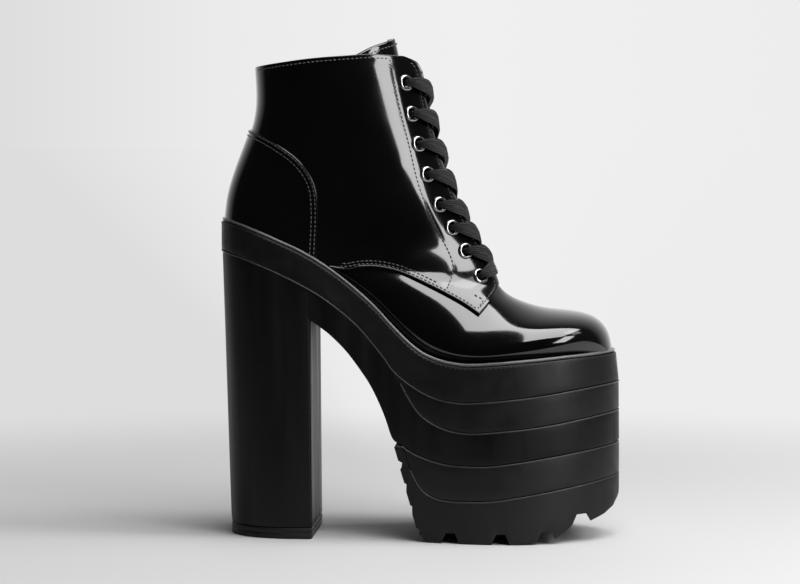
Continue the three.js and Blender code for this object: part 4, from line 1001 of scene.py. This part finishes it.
def rounded_wall(thickness, radius):
    """Profile of a sole layer's wall, bottom to top, as (inset, share of thickness) pairs."""
    radius = min(radius, 0.45 * thickness)
    arc = np.linspace(0, math.pi / 2, 6)
    low = [(radius * (1 - math.sin(a)), radius * (1 - math.cos(a)) / thickness) for a in arc]
    high = [(inset, 1 - share) for inset, share in reversed(low)]
    middle = [(0, low[-1][1] + (1 - 2 * low[-1][1]) * t) for t in (0.25, 0.5, 0.75)]
    return low + middle + high


def sole_layer(stations, low, high, radius, batter=lambda x, share: 0, inset=0.0):
    """A sole layer: a closed loop round the section at every station of the plan outline."""
    rings = []
    for x, half, inward_x, inward_y in stations:
        thickness = max(float(high(x) - low(x)), 0.3)
        wall = []
        for step, share in rounded_wall(thickness, radius):
            total = inset + step + batter(x, share)
            at_x, at_y = x + inward_x * total, max(half + inward_y * total, 0.0)
            floor, roof = float(low(at_x)), float(high(at_x))
            wall.append((at_x, at_y, floor + (roof - floor) * share))
        across = np.array([(1, t, 1) for t in (0, 0.25, 0.5, 0.75)])
        rings.append(both_sides(np.concatenate([wall[0] * across, wall, wall[-1] * across[::-1]])))
    return rings_mesh(rings)


def toe_batter(at_top, at_bottom):
    """How far a layer's wall stands back at the toe, at its top and its bottom edge."""
    return lambda x, share: (at_bottom + (at_top - at_bottom) * share) * smoothstep(*BATTER_SPAN, x)


def build_sole():
    top, band = line_at(SOLE_TOP_LINE), line_at(BAND_LINE)
    waist, third, fourth = line_at(LOWER_WAIST_LINE), line_at(THIRD_LINE), line_at(FOURTH_LINE)
    for name, start, low, high, radius, batter, mat in (
            ("midsole_band", SOLE_START, band, top, 0.9, (2.2, 0.5), BAND_RUBBER),
            ("platform_upper_layer", 104.3, waist, raised(band, -GAP), 0.8, (0.5, 0.3), LAYER_RUBBER),
            ("platform_lower_layer", 109.7, fourth, raised(third, -GAP), 0.8, (0.1, 0.0), LAYER_RUBBER)):
        layer = sole_layer(plan_from(start), low, high, radius, toe_batter(*batter))
        cover(name, "moulded", layer, mat)
    build_lips(((band, SOLE_START), (waist, 106), (third, 104), (fourth, 112)))
    build_welt(top)
    build_sock(top)
    build_waist_and_heel(band)
    build_outsole(fourth)


def perimeter(inset, height, rise, at_toe=2.2):
    """The whole plan outline as one closed line of points, moved inwards, on a height line."""
    moved = inset + toe_batter(at_toe, at_toe)(PLAN[:, 0], 1)
    x = PLAN[:, 0] + PLAN[:, 2] * moved
    y = np.maximum(PLAN[:, 1] + PLAN[:, 3] * moved, 0)
    return both_sides(np.stack([x, y, height(x) + rise], -1))


def closed_tube(path, radius, flatten=1.0, sides=12):
    """Points and faces of a tube round a closed line."""
    run = unit(np.roll(path, -1, 0) - np.roll(path, 1, 0))
    out = unit(np.cross(run, (0, 0, 1)))[:, None]
    up = np.cross(out, run[:, None])
    angles = full_turn(sides)[None, :, None]
    points = path[:, None] + radius * (np.cos(angles) * out + flatten * np.sin(angles) * up)
    last = (len(path) - 1) * sides
    faces = grid_faces(sides, len(path), wrap=True)
    faces += [(last + i, last + (i + 1) % sides, (i + 1) % sides, i) for i in range(sides)]
    return points.reshape(-1, 3), faces


def build_lips(lines):
    """The upper lip of each layer, just under the groove above it: a fine tube that catches real light, in a
    lighter grey that adds a painted highlight along the groove's edge.
    """
    parts = []
    for height, start in lines:
        loop = perimeter(0.3, height, -0.75, 0.25)
        path = loop[loop[:, 0] > start]
        if len(path) == len(loop):
            parts.append(closed_tube(path, LIP_RADIUS))
        else:
            parts.append(rings_mesh(tube(path, np.tile((0, 0, 1.0), (len(path), 1)), LIP_RADIUS, 10)))
    make_object("layer_lips", merge_meshes(parts), LIP_HIGHLIGHT_RUBBER)


def build_welt(top):
    path = perimeter(1.5, top, 0.4 + 0.9 * WELT_RADIUS)
    cover("welt", "bead", closed_tube(path, WELT_RADIUS, 0.9), WELT_HIGHLIGHT_RUBBER)
    line = perimeter(0.25, top, -1.2)
    out = unit(np.cross(np.roll(line, -1, 0) - np.roll(line, 1, 0), (0, 0, -1)))
    out *= np.sign((out * (line - (120, 0, 0)) * (1, 1, 0)).sum(1, keepdims=True))
    seam = [np.concatenate([rows, rows[:1]]) for rows in (line, out)]
    add_stitches("stitching_welt", [seam], mat=DARK_THREAD, pitch=2.9, length=2.0, radius=0.26)


def build_sock(top):
    low = raised(top, BOARD_TOP + GAP)
    high = raised(lambda x: low(x) + 0.2 * np.sin(x / 15), SOCK_THICKNESS)
    sock = sole_layer(plan_from(SOLE_START), low, high, 1.1, inset=SOCK_INSET)
    cover("sock_liner", "padded", sock, SOCK)


def heel_section(z, share, inset=0.0, corner=1.4):
    """One D-shaped ring of the heel block: round behind, flat across the breast."""
    sizes = (HEEL_BACK_X, BREAST_X, HALF_HEEL_WIDTH)
    back, breast, half = (low + (high - low) * share for low, high in sizes)
    back, breast, half, reach = back + inset, breast - inset, half - inset, HEEL_ROUND - inset
    arc = np.radians(np.linspace(90, 270, 65))
    bow = np.abs(np.cos(arc)) ** 0.92
    points = [(back + reach * (1 - c), half * math.sin(a)) for a, c in zip(arc, bow)]
    turn = np.radians(np.linspace(0, 90, 6))
    right = [(breast - corner + corner * math.sin(t), -half + corner * (1 - math.cos(t))) for t in turn]
    left = [(x, -y) for x, y in reversed(right)]
    flat = [(breast, y) for y in np.linspace(-half + corner, half - corner, 12)[1:-1]]
    return np.array([(x, y, z(x) if callable(z) else z) for x, y in points + right + flat + left])


def build_waist_and_heel(band):
    arch = line_at([*ARCH_LINE, *THIRD_LINE])
    roof = line_at([*BAND_LINE[:9], *LOWER_WAIST_LINE[1:]])
    foot = TOP_PIECE_HEIGHT + GAP

    def low(x):
        return np.where(x < ARCH_LINE[0][0], ARCH_LINE[0][1], arch(x))

    def blend_in(x, share):
        """Stands the waist back to the heel's width, and hides its end inside the heel."""
        z = low(x) + (roof(x) - low(x)) * share
        narrow, wide = HALF_HEEL_WIDTH
        heel_width = narrow + (wide - narrow) * (z - TOP_PIECE_HEIGHT) / HEEL_RISE
        wanted = np.interp(x, PLAN[:, 0], PLAN[:, 1]) - heel_width
        hidden = 0.5 * (1 - smoothstep(*WAIST_HIDDEN, x))
        return wanted * (1 - smoothstep(*WAIST_BLEND, x)) + hidden + toe_batter(0.3, 0.1)(x, share)

    bridge = sole_layer(plan_from(WAIST_START), low, raised(roof, -GAP), 0.9, blend_in)
    rings = [heel_section(foot + rise, 0, inset) for rise, inset in ((0, 0.7), (0.25, 0.2), (0.8, 0))]
    at_foot, at_head = heel_section(0, 0), heel_section(0, 1)
    ceiling = heel_section(raised(band, -GAP), 0.8)[:, 2]
    for t in np.linspace(0.03, 0.98, 28):
        z = foot + (ceiling - foot) * t
        ring = at_foot + (at_head - at_foot) * (z / HEEL_HEIGHT)[:, None]
        ring[:, 2] = z
        rings.append(ring)
    for inset, fall in ((0.1, 0.45), (0.35, 0.15), (0.9, 0.0)):
        rings.append(heel_section(raised(band, -GAP - fall), 0.85, inset))
    cover("heel_and_waist", "moulded", merge_meshes([bridge, rings_mesh(rings)]), HEEL_COVER, sharp=40)
    levels = [(0, 1.0), (0.15, 0.5), (0.5, 0.15), (1.0, 0), (3.1, 0), (3.3, 0.18), (3.6, 0.18), (3.8, 0),
              (5.9, 0), (6.25, 0.15), (TOP_PIECE_HEIGHT, 0.6)]
    lift = rings_mesh([heel_section(z, 0, inset) for z, inset in levels])
    cover("heel_top_piece", "moulded", lift, TREAD_RUBBER)


def outsole_floor():
    """The outsole's rear face and tread in side view: four ridges, then four notches."""
    line = [(108.6, 53.4), (106.8, 55.4), (104.6, 56.2)]
    for k in range(RIDGE_COUNT):
        x, z = 103.5 + RIDGE_LEAN * k, 54.3 - RIDGE_PITCH * k
        line += [(x, z), (x + 2.3, z - 7.6), (x + 4.6, z - 8.8), (x + 4.2, z - 11.4)]
    line += [(119.4, 4), (121.6, 0)]
    for x, z in TREAD_NOTCHES:
        line += [(x - 5.2, z), (x - 2.6, z + 6), (x + 2.6, z + 6.2), (x + 5.2, z + (1.6 if z > 1 else 0))]
    line += [(224, 15.2), (229.4, 19), TREAD_FRONT]
    return np.array(line)


def build_outsole(fourth):
    line = outsole_floor()
    floor = [line[0]]
    for a, b in zip(line, line[1:]):
        steps = max(1, int(math.dist(a, b) / 2.0))
        floor += [a + (b - a) * (k + 1) / steps for k in range(steps)]
    front_x, front_z = TREAD_FRONT
    floor += [(x, front_z + (x - front_x) * 6) for x in np.linspace(front_x + 0.05, PLAN[-1, 0] - 0.05, 5)]
    floor = np.array(floor)
    roof_x = np.maximum(floor[:, 0], OUTSOLE_START + (np.arange(len(floor)) / len(floor)) * 9)
    roof = np.stack([roof_x, fourth(roof_x) - GAP], -1)
    shares = np.array([0, 0.12, 0.35, 0.6, 0.85, 0.97, 1.0])[:, None]
    inset = np.array([0.5, 0.05, 0, 0, 0, 0.12, 0.7])
    rings = []
    for low, high in zip(floor, roof):
        x, z = (low + (high - low) * shares).T
        y = np.maximum(np.interp(x, PLAN[:, 0], PLAN[:, 1]) - inset, 0)
        wall = np.stack([x, y, z], -1)
        under = [wall[0] * (1, t, 1) for t in (0, 0.3, 0.7)]
        over = [wall[-1] * (1, t, 1) for t in (0.5, 0)]
        rings.append(both_sides(np.array([*under, *wall, *over])))
    cover("outsole", "tread", rings_mesh(rings), TREAD_RUBBER, sharp=32)


# ---- the zip ---------------------------------------------------------------------------------
ZIP_TAPE_LAYER = (-2.3, -2.8)
ZIP_TAPE_TOP, ZIP_TAPE_FOOT = 275.8, 161
ZIP_TAPE_EDGES = (0.75, 11)
STOP_HEIGHT = 1.3
TOOTH_PITCH = 2.1
FIRST_TOOTH = 2.2
SLIDER_BELOW_TOP = 6.2
PULL_PIN = (3.4, 4.7)
PULL_HANG = math.radians(2.9)
TOOTH = [(2.9, 0.55), (1.0, 0.5), (0.4, 0.34), (-0.5, 0.42), (-0.75, 0.2)]
SLIDER_PLATE = [
    (3.2, 0.5), (2.6, 0.1), (-2.6, 0.1), (-3.2, 0.5), (-3.4, 2.5), (-3.85, 6), (-3.85, 8.2), (-3.2, 9.1),
    (-1.2, 9.4), (1.2, 9.4), (3.2, 9.1), (3.85, 8.2), (3.85, 6), (3.4, 2.5), (3.2, 0.5),
]


def zip_frame():
    """Origin, the direction across the zip, out of the boot and up the chain, and its length."""
    top, bottom = offset_point(*mirrored(side_places([ZIP_TOP, ZIP_BOTTOM])).T, np.full(2, -1.1))
    up = unit(top - bottom)
    out = unit(np.array((0, 1, 0)) - up * up[1])
    return bottom, np.stack([np.cross(out, up), out, up]), np.linalg.norm(top - bottom)


ZIP_ORIGIN, ZIP_AXES, ZIP_LENGTH = zip_frame()


def zip_piece(node, ending, parts, body="boot"):
    """A metal piece from (across, out, up) parts in the zip's own frame."""
    points, faces = merge_meshes(parts)
    cover(node, ending, (ZIP_ORIGIN + points @ ZIP_AXES, faces), ZIP_METAL, body=body, sharp=35)


def rounded_outline(half_width, low, high, radius, x=0.0):
    """A rectangle in the zip's plane with rounded corners, as (x, z) points."""
    centre = np.array([x, (low + high) / 2])
    reach = (half_width - radius, (high - low) / 2 - radius)
    line = []
    for start, quarter in ((0, (1, 1)), (90, (-1, 1)), (180, (-1, -1)), (270, (1, -1))):
        turn = np.radians(np.linspace(start, start + 90, 6))[:, None]
        line.append(centre + np.multiply(reach, quarter) + radius * np.hstack([np.cos(turn), np.sin(turn)]))
    return np.concatenate(line)


def slab(outline, low, high, bevel=0.2, hole=None):
    """A bevelled plate over an (x, z) outline, from y low to y high, with an optional hole."""
    levels = [(low, bevel), (low + bevel, 0), (high - bevel, 0), (high, bevel)]

    def ring(line, level, inset):
        middle = line.mean(0)
        flat = middle + (line - middle) * (1 - inset / np.abs(line - middle).max(0))
        return np.stack([flat[:, 0], np.full(len(flat), level), flat[:, 1]], -1)

    rings = [ring(outline, level, inset) for level, inset in levels]
    if hole is None:
        return rings_mesh(rings)
    loop = [*rings, *(ring(hole, level, -inset) for level, inset in reversed(levels)), rings[0]]
    return np.concatenate(loop), grid_faces(len(outline), len(loop), wrap=True)


def build_zip():
    for name, side in (("back", -1), ("front", 1)):
        inner, outer = (side_path(zip_line(side * x, ZIP_TAPE_FOOT, ZIP_TAPE_TOP)) for x in ZIP_TAPE_EDGES)
        top, foot = (np.array([inner[i], outer[i]]) for i in (0, -1))
        tape = patch_mesh(flipped(outline_of(top, foot, inner, outer)), ZIP_TAPE_LAYER, 1.4, 0.2)
        cover(f"zip_tape_{name}", "woven", tape, ZIP_TAPE)
        zip_piece(f"zip_teeth_{name}", "row", zip_teeth(side))
        stop = rounded_outline(1.15, ZIP_LENGTH + 4.9, ZIP_LENGTH + 7.9, 0.5, side * 1.95)
        zip_piece(f"zip_top_stop_{name}", "clip", [slab(stop, 0, STOP_HEIGHT)])
    zip_piece("zip_bottom_stop", "clip", [slab(rounded_outline(2.5, -1.5, 0.7, 0.5), 0, STOP_HEIGHT)])
    build_slider_and_pull()


def zip_teeth(side):
    """One row of teeth: each grips the tape's edge and hooks past the middle between its partners."""
    first = FIRST_TOOTH + (TOOTH_PITCH / 2 if side > 0 else 0)
    tooth = np.array([(TOOTH[0][0], -TOOTH[0][1]), *TOOTH, *((x, -z) for x, z in TOOTH[:0:-1])]) * (side, 1)
    count = int((ZIP_LENGTH - 3) / TOOTH_PITCH)
    parts = [slab(tooth + (0, first + k * TOOTH_PITCH), 0.02, 1.28, 0.16) for k in range(count)]
    edge = np.array([(1.35, 1.2), (2.5, 1.2), (2.5, ZIP_LENGTH), (1.35, ZIP_LENGTH)]) * (side, 1)
    return [*parts, slab(edge, 0.12, 1.0, 0.1)]


def ridge_plate(y_low, y_high, z_low, z_high, bevel):
    """A plate that stands on the slider's middle line."""
    points, faces = slab(rounded_outline((y_high - y_low) / 2, z_low, z_high, 0.8), -0.85, 0.85, bevel)
    return points[:, (1, 0, 2)] + (0, (y_low + y_high) / 2, 0), faces


def build_slider_and_pull():
    base = np.array((0, 0, ZIP_LENGTH - SLIDER_BELOW_TOP))
    shield = smooth_line(SLIDER_PLATE, 3)[:-1]
    plates = [slab(shield, 1.75, 2.62, 0.3), slab(shield * (0.83, 1), -3.5, -2.7, 0.2)]
    flanges = [slab(rounded_outline(0.35, 1.0, 8.6, 0.3, x), 1.36, 2.2, 0.1) for x in (-3.45, 3.45)]
    legs = [ridge_plate(2.4, 4.4, z, z + 1.2, 0.2) for z in (2.3, 5.95)]
    slider = merge_meshes([*plates, *flanges, *legs, ridge_plate(4.0, 4.75, 2.3, 7.15, 0.25)])
    zip_piece("zip_slider", "cast", [(slider[0] + base, slider[1])], "zip_slider")
    slot = rounded_outline(1.0, -19.2, -14.2, 0.9)
    tab = slab(rounded_outline(2.5, -21.7, -4.7, 1.4), -0.45, 0.45, 0.15, slot)
    arms = [slab(rounded_outline(0.52, -5.4, 0.5, 0.4, x), -0.45, 0.45, 0.15) for x in (-1.95, 1.95)]
    pin = rings_mesh(lathe([(0.42, -2.0), (0.42, 2.0)], (0, 0, 0), (1, 0, 0), 12))
    panel = slab(rounded_outline(1.4, -12.6, -7.6, 0.7), 0.36, 0.6, 0.1)
    points, faces = merge_meshes([tab, *arms, pin, panel])
    hang = np.array(Matrix.Rotation(PULL_HANG, 3, "X"))
    zip_piece("zip_pull", "cast", [(points @ hang.T + (0, *PULL_PIN) + base, faces)], "zip_pull")


# ---- camera, studio and light ----------------------------------------------------------------
CAMERA_AZIMUTH, CAMERA_ELEVATION = math.radians(3.6), math.radians(3.43)
CAMERA_TARGET = Vector((-0.01176, 0, 0.1415))
CAMERA_DISTANCE = 1.6
FOCAL_LENGTH, SENSOR_WIDTH = 122.9, 36
BACKGROUND = 0.87
# Greys by place along an axis of the direction, from -1 to 1. Darker towards the left: painted shade, as if
# the light fell off away from the right.
CAMERA_RAMP = ((-0.21, 0.72), (-0.13, 0.83), (-0.04, BACKGROUND), (0.1, BACKGROUND * 0.97))
REFLECTED_RAMP = ((-1, 0.01), (0.3, 0.025), (0.72, 0.5), (1, 0.9))
# The floor's lit part fades into the backdrop's shade between these distances.
FLOOR_FADE = (0.18, 0.75)
FLOOR_NEAR = [(-0.9, -0.25), (0.9, -0.25), (0.9, 1), (-0.9, 1)]
FLOOR_FAR = [(-30, -30), (30, -30), (30, 30), (-30, 30)]


def place_facing(obj, location, target, roll=0.0):
    obj.location = location
    obj.rotation_mode = "QUATERNION"
    turn = (target - location).to_track_quat("-Z", "Y")
    obj.rotation_quaternion = turn @ Matrix.Rotation(math.radians(roll), 3, "Z").to_quaternion()


def build_camera():
    camera = bpy.data.objects.new("camera", bpy.data.cameras.new("camera"))
    camera.data.sensor_width = SENSOR_WIDTH
    camera.data.lens = FOCAL_LENGTH
    camera.data.clip_end = 100
    bpy.context.scene.collection.objects.link(camera)
    level = math.cos(CAMERA_ELEVATION)
    back = (math.sin(CAMERA_AZIMUTH) * level, -math.cos(CAMERA_AZIMUTH) * level, math.sin(CAMERA_ELEVATION))
    place_facing(camera, CAMERA_TARGET + Vector(back) * CAMERA_DISTANCE, CAMERA_TARGET)
    bpy.context.scene.camera = camera
    return camera


def add_area_light(name, location, target, size, power, roll=0.0):
    light = bpy.data.lights.new(name, "AREA")
    light.shape = "RECTANGLE"
    light.size, light.size_y = size
    light.energy = power
    lamp = bpy.data.objects.new(name, light)
    bpy.context.scene.collection.objects.link(lamp)
    place_facing(lamp, location, target, roll)
    return lamp


def softbox(name, spot, size, distance, power, camera, roll=0.0):
    """An area light that the patent leather mirrors to the camera at a side-view spot (x, z)."""
    psi, v = side_places([spot])[0]
    point = Vector(((surface(psi, v) + (SHIFT_X, 0, 0)) / 1000).tolist())
    facing = Vector(normal(psi, v).tolist())
    to_camera = (camera.location - point).normalized()
    mirrored_ray = 2 * facing.dot(to_camera) * facing - to_camera
    add_area_light(name, point + mirrored_ray * distance, point, size, power, roll)


def build_lights(camera):
    softbox("shaft_softbox", (102.5, 251), (0.39, 0.84), 1.3, 9.0, camera, -26)
    softbox("facing_softbox", (147, 149), (0.36, 0.6), 1.2, 1.6, camera)
    above = Vector((0.5, -0.46, 1.5))
    add_area_light("overhead", above, above * Vector((1, 1, 0)), (1.155, 1.45), 40)
    key = add_area_light("right_key", Vector((1.3, -0.2, 1.2)), Vector((0, 0, 0.12)), (0.5, 0.5), 17)
    key.visible_glossy = False


def shades_along(tree, heading, axis, stops):
    """Grey shades by how far a direction points along an axis."""
    part = add_node(tree, "SeparateXYZ", heading).outputs[axis]
    place = add_node(tree, "MapRange", part, From_Min=-1).outputs["Result"]
    return add_ramp(tree, place, [((at + 1) / 2, (grey, grey, grey)) for at, grey in stops])


def build_world():
    """Pale to the camera, with painted shade darker towards the left; to everything else dim in front and
    bright behind, like a lit backdrop.
    """
    world = bpy.data.worlds.new("studio")
    bpy.context.scene.world = world
    world.use_nodes = True
    tree = world.node_tree
    tree.nodes.clear()
    heading = add_node(tree, "TexCoord").outputs["Generated"]
    seen = add_node(tree, "Background", shades_along(tree, heading, "X", CAMERA_RAMP))
    around = add_node(tree, "Background", shades_along(tree, heading, "Y", REFLECTED_RAMP))
    to_camera = add_node(tree, "LightPath").outputs["Is Camera Ray"]
    mix = add_node(tree, "MixShader", to_camera, around.outputs[0], seen.outputs[0])
    add_node(tree, "OutputWorld", mix.outputs[0])


def floor_sheet(name, corners, faces, mat):
    mesh = bpy.data.meshes.new(name)
    mesh.from_pydata([(x, y, 0) for x, y in corners], [], faces)
    mesh.materials.append(mat)
    sheet = bpy.data.objects.new(name, mesh)
    bpy.context.scene.collection.objects.link(sheet)
    return sheet


def build_floor():
    """A pale floor: lit diffuse near the boot; further off it glows in the backdrop's greys, with painted
    shade darker towards the left.
    """
    mat, tree, shader = start_material("studio_floor", (0.4, 0.4, 0.4), 0.8)
    place = coordinates(tree)
    distance = add_node(tree, "VectorMath", place, operation="LENGTH").outputs["Value"]
    heading = add_node(tree, "VectorMath", place, operation="NORMALIZE").outputs[0]
    glow = add_node(tree, "Emission", shades_along(tree, heading, "X", CAMERA_RAMP), Strength=1.0)
    fade = add_node(tree, "MapRange", distance, interpolation_type="SMOOTHSTEP",
                    From_Min=FLOOR_FADE[0], From_Max=FLOOR_FADE[1])
    mix = add_node(tree, "MixShader", fade.outputs["Result"], shader.outputs["BSDF"], glow.outputs[0])
    tree.links.new(mix.outputs["Shader"], tree.nodes["Material Output"].inputs["Surface"])
    floor_sheet("floor", FLOOR_NEAR, [(0, 1, 2, 3)], mat)
    frame_faces = [(i, (i + 1) % 4, 4 + (i + 1) % 4, 4 + i) for i in range(4)]
    far = floor_sheet("floor_far", FLOOR_NEAR + FLOOR_FAR, frame_faces, mat)
    far.visible_glossy = False
    far.visible_diffuse = False


def finish_kept_nodes():
    for mat, names in KEPT_NODES.items():
        for name in names:
            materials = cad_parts[name].data.materials
            materials.clear()
            materials.append(mat)


bpy.context.scene.view_settings.view_transform = "Standard"
shot = build_camera()
build_world()
build_floor()
build_lights(shot)
build_leathers()
build_linings()
build_tongue()
build_eyelets()
build_lace()
build_sole()
build_zip()
finish_kept_nodes()
